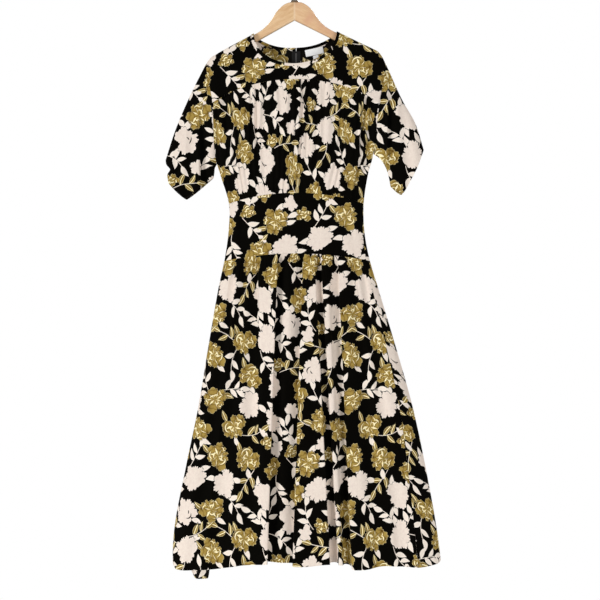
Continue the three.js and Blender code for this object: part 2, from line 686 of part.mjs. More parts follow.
/** A sleeve: a flat tube round a loop of shares, front first, from the armhole to the open cuff. */
function buildSleeve(name, side, table) {
  const shares = evenly(13).map((u) => (1 - Math.cos(Math.PI * u)) / 2);
  const front = shares.map((s) => [s, -1]);
  const back = shares.slice(1, -1).reverse().map((s) => [s, 1]);
  const loop = [...front, ...back];
  const lengths = [0, 0.12, 0.3, 0.5, 0.75, 1];
  const rows = sleeveRows(table, side);
  const outer = lengths.map((t) => loop.map(([s, face]) => sleevePoint(rows, side, t, s, face)));
  const inner = outer.map((row, i) =>
    row.map((point, j) => {
      const [above, below] = [outer[Math.max(i - 1, 0)][j], outer[Math.min(i + 1, outer.length - 1)][j]];
      const down = below.clone().sub(above);
      const across = row[(j + 1) % row.length].clone().sub(row.at(j - 1));
      const normal = down.cross(across).multiplyScalar(-side);
      if (i === 0) normal.setX(0);
      return point.clone().addScaledVector(normal.normalize(), -WALL);
    }),
  );
  addMesh(name, wallGeometry(outer, inner, true), COLOURS.print);
}

// ---------------------------------------------------------------- neck binding, zip and labels

/** The neck binding: a strip that caps the neck edge from one side of the zip round to the other. */
function buildBinding() {
  const half = NECK.halfWidth;
  const zipAngle = (side) => Math.asin((centreBackX(NECK.backZ) + side * ZIP.gap - NECK.centreX) / half);
  const ring = (angle, neck, face) => ({ angle, neck, face });
  const angles = NECK_STEPS.map(radians);
  const leftBack = angles.filter((a) => a < zipAngle(-1) - 0.05).reverse();
  const rightBack = angles.filter((a) => a > zipAngle(1) + 0.05).reverse();
  const rings = [
    ring(zipAngle(-1), backNeck, 1),
    ...leftBack.slice(0, -1).map((a) => ring(a, backNeck, 1)),
    ...angles.map((a) => ring(a, frontNeck, -1)),
    ...rightBack.slice(1).map((a) => ring(a, backNeck, 1)),
    ring(zipAngle(1), backNeck, 1),
  ];
  const pointAt = ({ angle, neck, face }, offset, lift) => {
    const x = NECK.centreX + (half + offset) * Math.sin(angle);
    const z = neck(x, offset);
    if (Math.abs(angle) > Math.PI / 2 - 1e-9) return new THREE.Vector3(x, 0, shoulderLine(x) + lift);
    const round = angleAt(x, z, face > 0);
    return formPoint(round, z).addScaledVector(surfaceNormal(formPoint, round, z), lift);
  };
  const column = (offset, lift) => rings.map((r) => pointAt(r, offset, lift));
  const outer = [column(0, BINDING_STAND), column(NECK.binding, BINDING_STAND)];
  const inner = [column(0, -WALL), column(NECK.binding, -WALL)];
  addMesh("neck_binding", wallGeometry(outer, inner), COLOURS.print);
}

/** A strip on the inside of the back that follows the centre-back seam. */
function centreBackStrip(width, thickness, behind, topZ, bottomZ) {
  const layer = (depth) =>
    evenly(26, topZ, bottomZ).map((z) =>
      evenly(2, -width / 2, width / 2).map((offset) => {
        const point = formPoint(angleAt(centreBackX(z) + offset, z, true), z);
        return point.setY(point.y - depth);
      }),
    );
  return wallGeometry(layer(behind), layer(behind + thickness));
}

function buildZip() {
  const { topZ, bottomZ, tapeWidth, tapeThickness, teethWidth, teethThickness, teethInset } = ZIP;
  const tapeBehind = WALL + SEAM * 1.5;
  addMesh("zip_tape", centreBackStrip(tapeWidth, tapeThickness, tapeBehind, topZ, bottomZ), COLOURS.tape);
  const teethBehind = tapeBehind + tapeThickness + SEAM;
  const [teethTop, teethBottom] = [topZ - teethInset, bottomZ + teethInset];
  const teeth = centreBackStrip(teethWidth, teethThickness, teethBehind, teethTop, teethBottom);
  addMesh("zip_teeth", teeth, COLOURS.tape);
}

/** A box as a solid, from its size and middle. */
const boxSolid = (size, middle) => solidOf(new THREE.BoxGeometry(...size).translate(...middle));

/** A cylinder along X as a solid, centred on the origin. */
function crossPin(radius, length, sides) {
  return solidOf(new THREE.CylinderGeometry(radius, radius, length, sides).rotateZ(Math.PI / 2));
}

/** Where the slider's pin lies: on the centre-back seam, outside the cloth. */
function pinPlace() {
  const x = centreBackX(SLIDER.z);
  const cloth = formPoint(angleAt(x, SLIDER.z, true), SLIDER.z).y;
  return [x, cloth + SLIDER.standOff + SLIDER.base + SLIDER.pinStandOff, SLIDER.z];
}

/** The slider: a plate on the seam with two ears that carry the pull's pin. */
function buildSlider() {
  const { width, height, base, earThickness, earHeight, pinRadius, pinStandOff } = SLIDER;
  const [x, y, z] = pinPlace();
  const plate = boxSolid([width, base, height], [x, y - pinStandOff - base / 2, z]);
  const earDepth = pinStandOff + 1.2;
  const ears = [-1, 1].map((side) => {
    const earX = x + (side * (width - earThickness)) / 2;
    return boxSolid([earThickness, earDepth, earHeight], [earX, y - pinStandOff + earDepth / 2 - 0.1, z]);
  });
  const pin = crossPin(pinRadius, width - 0.4, 16).translate([x, y, z]);
  addMesh("zip_slider", geometryOf(wasm.Manifold.union([plate, ...ears, pin])), COLOURS.metal, 0.3, 0.9);
}

/** The pull: an eye on the slider's pin and a tab that hangs from it and widens to a round end. */
function buildPull() {
  const [neck, wide, endRadius] = [PULL.width / 2, PULL.tabWidth / 2, PULL.tabWidth / 2];
  const endZ = -PULL.length + endRadius;
  const drop = new THREE.Shape();
  drop.moveTo(-neck, -1);
  drop.bezierCurveTo(-neck, endZ / 3, -wide, endZ / 2, -wide, endZ);
  drop.absarc(0, endZ, endRadius, Math.PI, Math.PI * 2);
  drop.bezierCurveTo(wide, endZ / 2, neck, endZ / 3, neck, -1);
  drop.closePath();
  const tab = solidOf(slab(drop, PULL.thickness, 0.3, 1));
  const eye = crossPin(PULL.eyeRadius, PULL.width, 24);
  const bore = crossPin(PULL.boreRadius, PULL.width + 2, 24);
  const pull = eye.add(tab).subtract(bore).translate(pinPlace());
  addMesh("zip_pull", geometryOf(pull), COLOURS.metal, 0.3, 0.9);
}

/** A small flat label on the inside of the back, turned to follow the neck edge. */
function buildLabel(name, size, behind) {
  const turn = radians(size.turn);
  const layer = (depth) =>
    evenly(3, size.height / 2, -size.height / 2).map((q) =>
      evenly(5, -size.width / 2, size.width / 2).map((p) => {
        const x = size.x + p * Math.cos(turn) - q * Math.sin(turn);
        const z = size.z + p * Math.sin(turn) + q * Math.cos(turn);
        const point = formPoint(angleAt(x, z, true), z);
        return point.setY(point.y - depth);
      }),
    );
  addMesh(name, wallGeometry(layer(behind), layer(behind + size.thickness)), COLOURS.label, 0.7);
}

// ---------------------------------------------------------------- the whole object

buildHanger();
buildHook();
buildYoke();
buildFrontBodice();
buildBackBodice("back_bodice_left", -1);
buildBackBodice("back_bodice_right", 1);
buildMidriff();
buildSkirt();
buildSleeve("sleeve_left", -1, SLEEVE_LEFT);
buildSleeve("sleeve_right", 1, SLEEVE_RIGHT);
buildBinding();
buildZip();
buildSlider();
buildPull();
buildLabel("size_tab", SIZE_TAB, WALL + SEAM);
buildLabel("neck_label", LABEL, WALL + 2 * SEAM + SIZE_TAB.thickness);

export default part;
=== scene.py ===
"""The looks of a maxi dress on a wooden hanger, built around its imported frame.

Lengths are millimetres until a mesh is made, where they become metres. +Z is up, the front faces -Y and
+X is the viewer's right. The inside top of the hanger's hook is the origin.

The cloth lies on a flattened tube. An angle goes round it: -90 degrees at the left fold, 0 in the middle
of the front, 90 at the right fold and 180 in the middle of the back.
"""

import logging
import math
from dataclasses import dataclass, field
from enum import Enum
from functools import partial
from typing import Callable, Optional, Sequence, Union

import bmesh
import bpy
import numpy as np
from bpy.types import Material, Node, NodeSocket, NodeTree, Object
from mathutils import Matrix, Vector


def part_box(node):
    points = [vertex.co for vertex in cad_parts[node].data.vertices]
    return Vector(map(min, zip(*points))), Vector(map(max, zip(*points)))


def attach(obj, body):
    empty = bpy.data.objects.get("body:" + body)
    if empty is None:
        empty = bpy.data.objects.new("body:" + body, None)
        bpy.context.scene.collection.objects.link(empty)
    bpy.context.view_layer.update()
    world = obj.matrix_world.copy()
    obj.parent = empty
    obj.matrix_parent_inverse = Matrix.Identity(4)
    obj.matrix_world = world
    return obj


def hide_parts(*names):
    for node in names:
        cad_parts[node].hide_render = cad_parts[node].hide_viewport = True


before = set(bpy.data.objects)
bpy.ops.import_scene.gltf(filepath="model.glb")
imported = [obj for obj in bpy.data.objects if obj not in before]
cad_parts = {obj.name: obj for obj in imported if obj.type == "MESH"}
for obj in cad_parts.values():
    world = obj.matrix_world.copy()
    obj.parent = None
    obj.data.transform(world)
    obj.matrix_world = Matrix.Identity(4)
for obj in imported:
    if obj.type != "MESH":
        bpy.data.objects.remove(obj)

Array = np.ndarray
LOG = logging.getLogger("dress")
METRES = 0.001  # metres in a millimetre
CLOTH = 0.7  # thickness that the cloth shows at its edges
ARMS = ("hanger_arm_left", "hanger_arm_right")


# ---------------- numbers that may flow through nodes


def operator(operation: str, swapped: bool = False) -> Callable[["Wire", "Number"], "Wire"]:
    """Makes one of a wire's operators.

    Args:
        operation: the node's operation.
        swapped: whether the wire stands on the right of it.

    Returns:
        The operator.
    """

    def worked(wire: "Wire", other: "Number") -> "Wire":
        """The wire of the result."""
        return wire.made(operation, *((other, wire) if swapped else (wire, other)))

    return worked


class Wire:
    """A number on a node socket, so that a formula written once also builds its own nodes."""

    __array_ufunc__ = None

    def __init__(self, tree: NodeTree, socket: NodeSocket) -> None:
        """Keeps the tree and the socket that the number comes from."""
        self.tree = tree
        self.socket = socket

    def made(self, operation: str, *values: "Number") -> "Wire":
        """Adds one maths node.

        Args:
            operation: the node's operation.
            values: its inputs, wires or plain numbers.

        Returns:
            The wire of its result.
        """
        node = self.tree.nodes.new("ShaderNodeMath")
        node.operation = operation
        for entry, value in zip(node.inputs, values):
            feed(entry, value)
        return Wire(self.tree, node.outputs[0])

    __add__ = __radd__ = operator("ADD")
    __sub__, __rsub__ = operator("SUBTRACT"), operator("SUBTRACT", True)
    __mul__ = __rmul__ = operator("MULTIPLY")
    __truediv__, __rtruediv__ = operator("DIVIDE"), operator("DIVIDE", True)


Number = Union[Wire, Array, float]


def feed(entry: NodeSocket, value: object) -> None:
    """Gives a node's entry its value.

    Args:
        entry: the entry.
        value: a wire or a socket, which is joined to it, or a steady value.
    """
    source = value.socket if isinstance(value, Wire) else value
    if isinstance(source, NodeSocket):
        entry.id_data.links.new(source, entry)
    else:
        entry.default_value = source


def either(operation: str, plain: Callable[..., Array]) -> Callable[..., Number]:
    """Makes a function that adds a maths node where its first value is a wire.

    Args:
        operation: the node's operation.
        plain: works the same out for plain numbers.

    Returns:
        The function.
    """

    def worked(first: Number, *others: Number) -> Number:
        """The wire of the node's result, or the plain result."""
        return first.made(operation, first, *others) if isinstance(first, Wire) else plain(first, *others)

    return worked


sine = either("SINE", np.sin)
size_of = either("ABSOLUTE", np.abs)  # the value without its sign
raised = either("POWER", lambda value, power: np.abs(value) ** power)  # for a value of 0 or more
most = either("MAXIMUM", np.maximum)  # the larger of the two
over = either("GREATER_THAN", lambda value, limit: (value > limit) * 1.0)  # 1 over the limit, else 0
under = either("LESS_THAN", lambda value, limit: (value < limit) * 1.0)  # 1 under the limit, else 0
turn_of = either("ARCTAN2", np.arctan2)  # angle of the direction (x, y); y comes first


def length_of(x: Number, y: Number) -> Number:
    """Length of the vector (x, y)."""
    return x.made("SQRT", x * x + y * y) if isinstance(x, Wire) else np.hypot(x, y)


# ---------------- plain number helpers


def lerp(low: Number, high: Number, share: Number) -> Number:
    """Value at a share of the way from low to high."""
    return low + (high - low) * share


def clamp(value: Array, low: float = 0.0, high: float = 1.0) -> Array:
    """Value kept between two limits."""
    return np.clip(value, low, high)


def smooth(share: Array) -> Array:
    """S-shaped rise from 0 to 1: three squares less two cubes of the share."""
    inside = clamp(share)
    return inside * inside * (3 - 2 * inside)


def ripple(phase: Array) -> Array:
    """Wave that goes from 0 to 1 and back in each turn."""
    return 0.5 - 0.5 * np.cos(phase)


def bell(distance: Array, power: float = 2.0) -> Array:
    """Bell curve of a distance in widths: it falls as the exponential of a power of it."""
    return np.exp(-(np.abs(distance) ** power))


def share_down(z: Array, top: Array, bottom: Array) -> Array:
    """Share of the way from a top height down to a bottom one."""
    return clamp((top - z) / (top - bottom))


def direction(heading: float) -> Array:
    """Step of length 1 in a heading, which is in radians."""
    return np.array([math.cos(heading), math.sin(heading)])


def off_seams(down: Array, rate: float) -> Array:
    """1 away from both seams, and down to 0 at each within a share of 1 over the rate."""
    return smooth(down * rate) * smooth((1 - down) * rate)


def below_seam(down: Array) -> Array:
    """Strength of the fine gathers under a seam: it rises at once and then falls as an exponential."""
    return np.exp(-down * 16) * smooth(down * 90)


def hand(side: int) -> str:
    """Word for a side, -1 or 1, in a piece's name."""
    return "left" if side < 0 else "right"


def joined(*parts: Array) -> Array:
    """Points or places whose last axis holds the parts."""
    return np.stack(np.broadcast_arrays(*parts), axis=-1)


def along(keys: Sequence[float], values: Array, at: Array) -> Array:
    """Reads a table with a smooth curve: each stretch is a cubic with the slopes between its neighbours.

    Args:
        keys: rising or falling keys of the rows.
        values: values of the rows, first axis the rows, the others as wide as at or 1.
        at: where to read.

    Returns:
        The values at those places.
    """
    sign = 1.0 if keys[-1] > keys[0] else -1.0
    rows = np.sort(sign * np.asarray(keys, float))
    place = clamp(sign * np.asarray(at, float), rows[0], rows[-1])
    table = np.asarray(values, float)
    table = table.reshape(table.shape + (1,) * (place.ndim + 1 - table.ndim))
    table = np.broadcast_to(table, (len(rows),) + place.shape)
    last = len(rows) - 1
    low = clamp(np.searchsorted(rows, place) - 1, 0, last - 1).astype(int)

    def pick(index: Array) -> Array:
        """Value of the row with that index at each place."""
        return np.take_along_axis(table, index[None], axis=0)[0]

    def slope(index: Array) -> Array:
        """Slope at a row, from the rows on its two sides."""
        before, after = np.maximum(index - 1, 0), np.minimum(index + 1, last)
        return (pick(after) - pick(before)) / (rows[after] - rows[before])

    step = rows[low + 1] - rows[low]
    t = (place - rows[low]) / step
    t2, t3 = t * t, t * t * t
    return (
        (2 * t3 - 3 * t2 + 1) * pick(low)
        + (t3 - 2 * t2 + t) * step * slope(low)
        + (3 * t2 - 2 * t3) * pick(low + 1)
        + (t3 - t2) * step * slope(low + 1)
    )


def steps(count: int, length: float, fine: Sequence[float] = (0.8, 1.8, 3.4, 5.5)) -> Array:
    """Shares from 0 to 1 at even steps, with extra ones close to both ends.

    Args:
        count: number of even steps.
        length: what the whole stands for, in mm.
        fine: distances from each end that get a share of their own, in mm.

    Returns:
        The shares in rising order.
    """
    near = np.array(fine) / length
    even = np.linspace(0, 1, count + 1)
    margin = near[-1] * 1.3
    inside = even[(even > margin) & (even < 1 - margin)]
    return np.concatenate([[0.0], near, inside, 1 - near[::-1], [1.0]])


Colour = tuple[float, float, float, float]


def linear(red: float, green: float, blue: float) -> Colour:
    """Colour of 0-255 screen values as the shader's linear values."""
    share = np.array([red, green, blue]) / 255
    return (*np.where(share <= 0.04045, share / 12.92, ((share + 0.055) / 1.055) ** 2.4).tolist(), 1.0)


def darker(colour: Colour) -> Colour:
    """Colour at four fifths of its light."""
    return tuple(part * 0.8 for part in colour[:3]) + (1.0,)


# ---------------- the flower print


@dataclass(frozen=True)
class Kind:
    """A kind of flower: how many there are in the repeat, its half size, and whether it is mustard."""

    number: int
    count: int
    half: float
    mustard: bool


class Bloom(Enum):
    """Kinds of flower in the print."""

    PALE = Kind(0, 9, 34.0, False)
    PALE_MARKED = Kind(1, 4, 34.0, False)
    MUSTARD = Kind(2, 14, 34.0, True)
    SMALL_MUSTARD = Kind(3, 6, 20.0, True)
    SMALL_PALE = Kind(4, 5, 20.0, False)


class Tint(Enum):
    """Kinds of leaf in the print."""

    PALE = 0
    MUSTARD = 1


@dataclass(frozen=True)
class Motif:
    """One flower, leaf or stem: its middle, half sizes, heading in radians, style number and varying seed."""

    x: float
    y: float
    half_x: float
    half_y: float
    heading: float
    style: float
    seed: float

    def place(self, offset: Array) -> tuple[Array, Array]:
        """Places along and across it, as shares of its half sizes, at offsets from its middle.

        Args:
            offset: offsets from its middle, the last axis x and y.

        Returns:
            The places along it and across it.
        """
        cosine, sinus = direction(self.heading)
        x, y = offset[..., 0], offset[..., 1]
        return (x * cosine + y * sinus) / self.half_x, (y * cosine - x * sinus) / self.half_y


@dataclass
class FlowerPrint:
    """A square repeat of peonies, small blossoms and leafy sprigs that settles from a loose scatter.

    The scatter's points follow a rule that never bunches. They push each other apart until each motif has
    its own ground, with motifs of the same colour kept further apart.
    """

    repeat: float = 480.0
    rounds: int = 500
    scatter: tuple[float, float] = (0.75488, 0.56984)  # irrational steps, whose multiples never bunch
    push: float = 0.3  # share of what is missing that a round makes up
    gap: float = 3.0  # ground kept between motifs
    same: float = 16.0  # more ground between flowers of one colour
    halo: float = 1.2  # dark line round a flower that lies on leaves
    stem_half: float = 0.8
    sprig_count: int = 22
    sprig_half: float = 24.0
    leaf_spread: float = 50.0  # how far a sprig's side leaves turn from its stem, in degrees
    leaf_length: float = 32.0
    reach: float = 75.0  # how far round a motif faces are looked at
    nowhere: float = 9.0  # a place in a motif that is well outside it
    flowers: list[Motif] = field(init=False, default_factory=list)
    leaves: list[Motif] = field(init=False, default_factory=list)
    stems: list[Motif] = field(init=False, default_factory=list)

    def __post_init__(self) -> None:
        """Charts the repeat."""
        kinds = [bloom.value for bloom in Bloom] + [None]
        counts = [kind.count for kind in kinds[:-1]] + [self.sprig_count]
        queue = sorted(((j + 0.5) / n, k) for k, n in enumerate(counts) for j in range(n))
        order = [kinds[k] for _, k in queue]
        middles = self.settled(order)
        seeds = (np.arange(len(order)) * 0.377 + 0.13) % 1
        for kind, (x, y), seed in zip(order, middles, seeds):
            if kind:
                squash = 0.07 * math.sin(40 * seed)
                halves = kind.half * (1 - squash), kind.half * (1 + squash)
                heading = 2 * math.pi * (seed * 7 % 1)
                self.flowers.append(Motif(x, y, *halves, heading, kind.number, seed))
                self.collar(kind, x, y, seed)
        for number, (kind, (x, y), seed) in enumerate(zip(order, middles, seeds)):
            if kind is None:
                self.sprig(x, y, seed, Tint.MUSTARD if number % 3 == 0 else Tint.PALE)

    def settled(self, order: Sequence[Optional[Kind]]) -> Array:
        """Settles the motifs' middles.

        They start at the multiples of two irrational steps. In each round every two that are closer than
        their two half sizes and the gap move apart by a share of what is missing.

        Args:
            order: each motif's kind, none for a sprig.

        Returns:
            The middles, (n, 2) in mm.
        """
        number = np.arange(len(order))[:, None] + 0.5
        middles = (number * np.array(self.scatter)) % 1 * self.repeat
        half = np.array([kind.half if kind else self.sprig_half for kind in order])
        group = np.array([int(kind.mustard) if kind else 2 for kind in order])
        wanted = half[:, None] + half[None] + self.gap + self.same * (group[:, None] == group[None])
        for _ in range(self.rounds):
            away = self.wrapped(middles[:, None] - middles[None])
            far = np.maximum(np.linalg.norm(away, axis=-1), 1e-6)
            short = np.maximum(wanted - far, 0) / far * (far > 1e-3)
            middles = (middles + self.push * (short[..., None] * away).sum(axis=1)) % self.repeat
        return middles

    def collar(self, kind: Kind, x: float, y: float, seed: float) -> None:
        """Adds the leaves that show beside a flower.

        Args:
            kind: the flower's kind.
            x: its middle across.
            y: its middle down.
            seed: its varying number.
        """
        for k in range(2 if kind.half > 25 else 1):
            out = 5 * seed + 2.4 * k
            heading = out + (0.5 if k % 2 else -0.4)
            length = self.leaf_length * (0.9 + 0.2 * seed)
            foot = np.array([x, y]) + direction(out) * kind.half * 0.86
            middle = foot + direction(heading) * length * 0.3
            self.leaf(middle, length, heading, Tint.MUSTARD if kind.mustard and k else Tint.PALE)

    def leaf(self, middle: Array, length: float, heading: float, tint: Tint) -> None:
        """Adds one leaf, with the next seed."""
        seed = (len(self.leaves) * 0.41) % 1
        self.leaves.append(Motif(middle[0], middle[1], length / 2, length / 2, heading, tint.value, seed))

    def sprig(self, x: float, y: float, seed: float, tint: Tint) -> None:
        """Adds a bowed stem that grows from the nearest flower, with leaves in pairs and one at its tip.

        Args:
            x: its middle across.
            y: its middle down.
            seed: its varying number.
            tint: colour of its leaves.
        """
        places = np.array([(flower.x, flower.y) for flower in self.flowers])
        halves = np.array([flower.half_x for flower in self.flowers])
        away = self.wrapped(np.array([x, y]) - places)
        nearest = np.argmin(np.linalg.norm(away, axis=1) - halves)
        heading = math.atan2(away[nearest, 1], away[nearest, 0]) + 0.5 * math.sin(50 * seed)
        ahead = direction(heading)
        aside = np.array([-ahead[1], ahead[0]])
        half, bow = self.sprig_half * 1.25, 7 * math.sin(31 * seed + 1)
        middle = np.array([x, y]) - ahead * self.sprig_half * 0.45
        self.stems.append(Motif(middle[0], middle[1], half, 1.0, heading, bow, 0.0))
        count = 4 if seed > 0.35 else 3
        for k in range(count):
            tip = k == count - 1
            share = 1.0 if tip else -0.35 + 1.1 * k / (count - 1)
            root = middle + ahead * half * share + aside * bow * (1 - share * share)
            side = 0 if tip else (1 if (k + count) % 2 else -1)
            aim = heading + math.atan2(-2 * bow * share, half) + side * math.radians(self.leaf_spread)
            length = self.leaf_length * (1.0 if tip else 0.98 - 0.07 * k)
            self.leaf(root + direction(aim) * length / 2, length, aim, tint)

    @staticmethod
    def swirl(turn: Number, seed: Number) -> Number:
        """Angle with three slow waves added, so that petals differ in width."""
        waves = 0.26 * sine(turn + 17 * seed) + 0.16 * sine(2 * turn + 9 * seed)
        return turn + waves + 0.07 * sine(3 * turn + 23 * seed)

    @staticmethod
    def half_petals(kind: Number) -> Number:
        """Half the number of large petals of a kind of flower."""
        return 4.0 - 1.5 * over(kind, 2.5)

    @classmethod
    def outline(cls, turn: Number, seed: Number, kind: Number) -> Number:
        """Radius of a flower's outline, near 1.

        The outline is a circle with a notch between each two petals, where a sine's size comes to zero,
        a finer set of notches for the ragged petal edges, and slow waves that pull it out of round.

        Args:
            turn: angle round the flower, in radians.
            seed: number from 0 to 1 that varies it.
            kind: number of the kind of flower.

        Returns:
            The radius as a share of the flower's half size.
        """
        swirl, half = cls.swirl(turn, seed), cls.half_petals(kind)
        petal = raised(size_of(sine(half * swirl + 5 * seed)), 0.7)
        ragged = raised(size_of(sine(3 * half * swirl + 11 * seed)), 0.8)
        notch = 0.21 + 0.13 * over(kind, 2.5) + 0.07 * sine(2 * turn + 40 * seed)
        pull = 0.09 * sine(2 * turn + 31 * seed) + 0.08 * sine(3 * turn + 13 * seed)
        return 0.85 - notch * (1 - petal) + 0.11 * ragged + (pull + 0.05 * sine(5 * turn + 7 * seed))

    @classmethod
    def petals(cls, x: Number, y: Number, seed: Number, kind: Number, size: Number) -> tuple[Number, Number]:
        """Draws the petals of a mustard flower.

        Tapered strokes run along the borders between petals and curl a little. A ring of small petals stands
        round the middle, and broken arcs repeat the outline further out. The dye is deep along the borders
        and just outside each ring, where upper petals shade lower ones, and light in a petal's middle.

        Args:
            x: place across the flower, as a share of its half size.
            y: place along the flower, likewise.
            seed: number from 0 to 1 that varies it.
            kind: number of the kind of flower.
            size: the flower's half size in mm.

        Returns:
            1 on a pale stroke, else 0; and the lightness of the dye, from 0 to 1.
        """
        out, turn = length_of(x, y), turn_of(y, x)
        swirl, half = cls.swirl(turn, seed), cls.half_petals(kind)
        border = size_of(sine(half * swirl + 5 * seed + 1.1 * (out - 0.5)))
        middle = 0.38 + 0.09 * sine(3 * swirl + 7 * seed)
        taper = most(1 - size_of(out - middle) / 0.27, 0.0) * (0.8 + 0.5 * sine(2 * swirl + 4 * seed))
        lines, shade = under(border * out / half, 1.5 * taper / size), 0.0
        inner = 0.36 * (0.62 + 0.42 * raised(size_of(sine(2.5 * swirl + 1 + 6 * seed)), 0.5))
        outer = 0.70 * (0.78 + 0.24 * raised(size_of(sine(half * swirl + 5 * seed + 1.57)), 0.5))
        for ring, wide, near in (
            (inner, 1.5 * most(sine(2 * swirl + 8 * seed) + 0.1, 0.0), 2.4),
            (outer, 1.7 * most(sine(3 * swirl + 2 + 5 * seed) - 0.1, 0.0), 2.6),
        ):
            away = size * (out - ring)
            lines = most(lines, under(size_of(away), wide))
            shade = most(1 - size_of(away - near) / 3.0, shade)
        light = 0.08 + 0.98 * raised(border, 0.7) - 0.6 * shade
        return lines, most(light, 0.0)

    @staticmethod
    def marks(x: Number, y: Number, seed: Number) -> Number:
        """1 on two tapered gaps between the petals of a marked pale flower, else 0.

        Args:
            x: place across the flower, as a share of its half size.
            y: place along the flower, likewise.
            seed: number from 0 to 1 that varies it.

        Returns:
            1 or 0.
        """
        out, turn = length_of(x, y), turn_of(y, x)
        long_gap = under(size_of(out - 0.42 - 0.10 * sine(2 * turn)), 0.16 * (sine(turn + 6 * seed) - 0.72))
        short_gap = under(size_of(out - 0.24), 0.2 * (sine(turn + 6 * seed + 0.8) - 0.8))
        return most(long_gap, short_gap)

    @staticmethod
    def leaf_middle(x: Number, y: Number, seed: Number) -> Number:
        """How far a place lies from a leaf's bowed midrib, as a share of its half length."""
        return size_of(y - 0.5 * (seed - 0.5) * most(1 - x * x, 0.0))

    @classmethod
    def leaf_gap(cls, x: Number, y: Number, seed: Number) -> Number:
        """How far a place lies outside a leaf, less than 0 inside: its width falls as 1 less the square of x.

        Args:
            x: place along the leaf from its foot, -1, to its tip, 1.
            y: place across it, on the same scale.
            seed: number from 0 to 1 that varies its bow.

        Returns:
            The distance as a share of the leaf's half length.
        """
        width = most(1 - x * x, 0.0) * (0.40 - 0.11 * x)
        return cls.leaf_middle(x, y, seed) - width + 1.2 * most(size_of(x) - 1, 0.0)

    def wrapped(self, distance: Array) -> Array:
        """Distance to the nearest copy in the repeat."""
        return (distance + self.repeat / 2) % self.repeat - self.repeat / 2

    def nearest(
        self,
        faces: Array,
        corners: Array,
        motifs: Sequence[Motif],
        gap: Callable[[Motif, Array, Array], Array],
    ) -> Array:
        """Finds each face's nearest motif and gives the face's corners their places in it.

        Args:
            faces: cloth places of the faces' middles, (n, 2) in mm.
            corners: cloth places of the faces' corners, (n, 4, 2) in mm.
            motifs: the motifs of one kind.
            gap: gives how far outside a motif a place lies, in mm.

        Returns:
            (n, 4, 3): the place along and across the motif, and its style and seed added.
        """
        best = np.full(len(faces), np.inf)
        found = np.full(corners.shape[:2] + (3,), self.nowhere)
        for motif in motifs:
            near = self.wrapped(faces - np.array([motif.x, motif.y]))
            close = np.nonzero(np.abs(near).max(axis=1) < self.reach)[0]
            near = near[close]
            away = gap(motif, *motif.place(near))
            closer = away < best[close]
            chosen = close[closer]
            best[chosen] = away[closer]
            offset = corners[chosen] - (faces[chosen] - near[closer])[:, None]
            found[chosen, :, 0], found[chosen, :, 1] = motif.place(offset)
            found[chosen, :, 2] = motif.style + motif.seed
        return found

    def lay(self, faces: Array, corners: Array) -> dict[str, Array]:
        """Works out the three print attributes of a cloth's face corners.

        Args:
            faces: cloth places of the faces' middles, (n, 2) in mm.
            corners: cloth places of the faces' corners, (n, 4, 2) in mm.

        Returns:
            The attributes by name, each (n, 4, 3).
        """

        def flower_gap(motif: Motif, x: Array, y: Array) -> Array:
            """Distance outside a flower."""
            radius = self.outline(np.arctan2(y, x), motif.seed, np.float64(motif.style))
            return (np.hypot(x, y) - radius) * motif.half_x

        def leaf_gap(motif: Motif, x: Array, y: Array) -> Array:
            """Distance outside a leaf."""
            return self.leaf_gap(x, y, motif.seed) * motif.half_x

        def stem_gap(motif: Motif, x: Array, y: Array) -> Array:
            """Distance outside a stem."""
            return np.abs(y - motif.style * (1 - x * x)) + motif.half_x * np.maximum(np.abs(x) - 1, 0)

        return {
            "bloom": self.nearest(faces, corners, self.flowers, flower_gap),
            "leaf": self.nearest(faces, corners, self.leaves, leaf_gap),
            "stem": self.nearest(faces, corners, self.stems, stem_gap),
        }


# ---------------- finishes


class Palette:
    """The colours of the finishes."""

    BLACK = linear(4, 3, 1)
    CREAM = linear(236, 224, 211)
    ROSE_CREAM = linear(226, 211, 199)
    WHITE_CREAM = linear(246, 238, 228)
    MUSTARD = linear(164, 138, 70)
    DEEP_MUSTARD = linear(96, 70, 24)
    PALE_LINE = linear(250, 238, 192)
    WOOD_LIGHT = linear(244, 213, 168)
    WOOD_DARK = linear(205, 160, 110)
    WOOD_WARM = linear(216, 168, 132)
    WOOD_GLUE = linear(236, 206, 170)
    LABEL = linear(255, 255, 254)


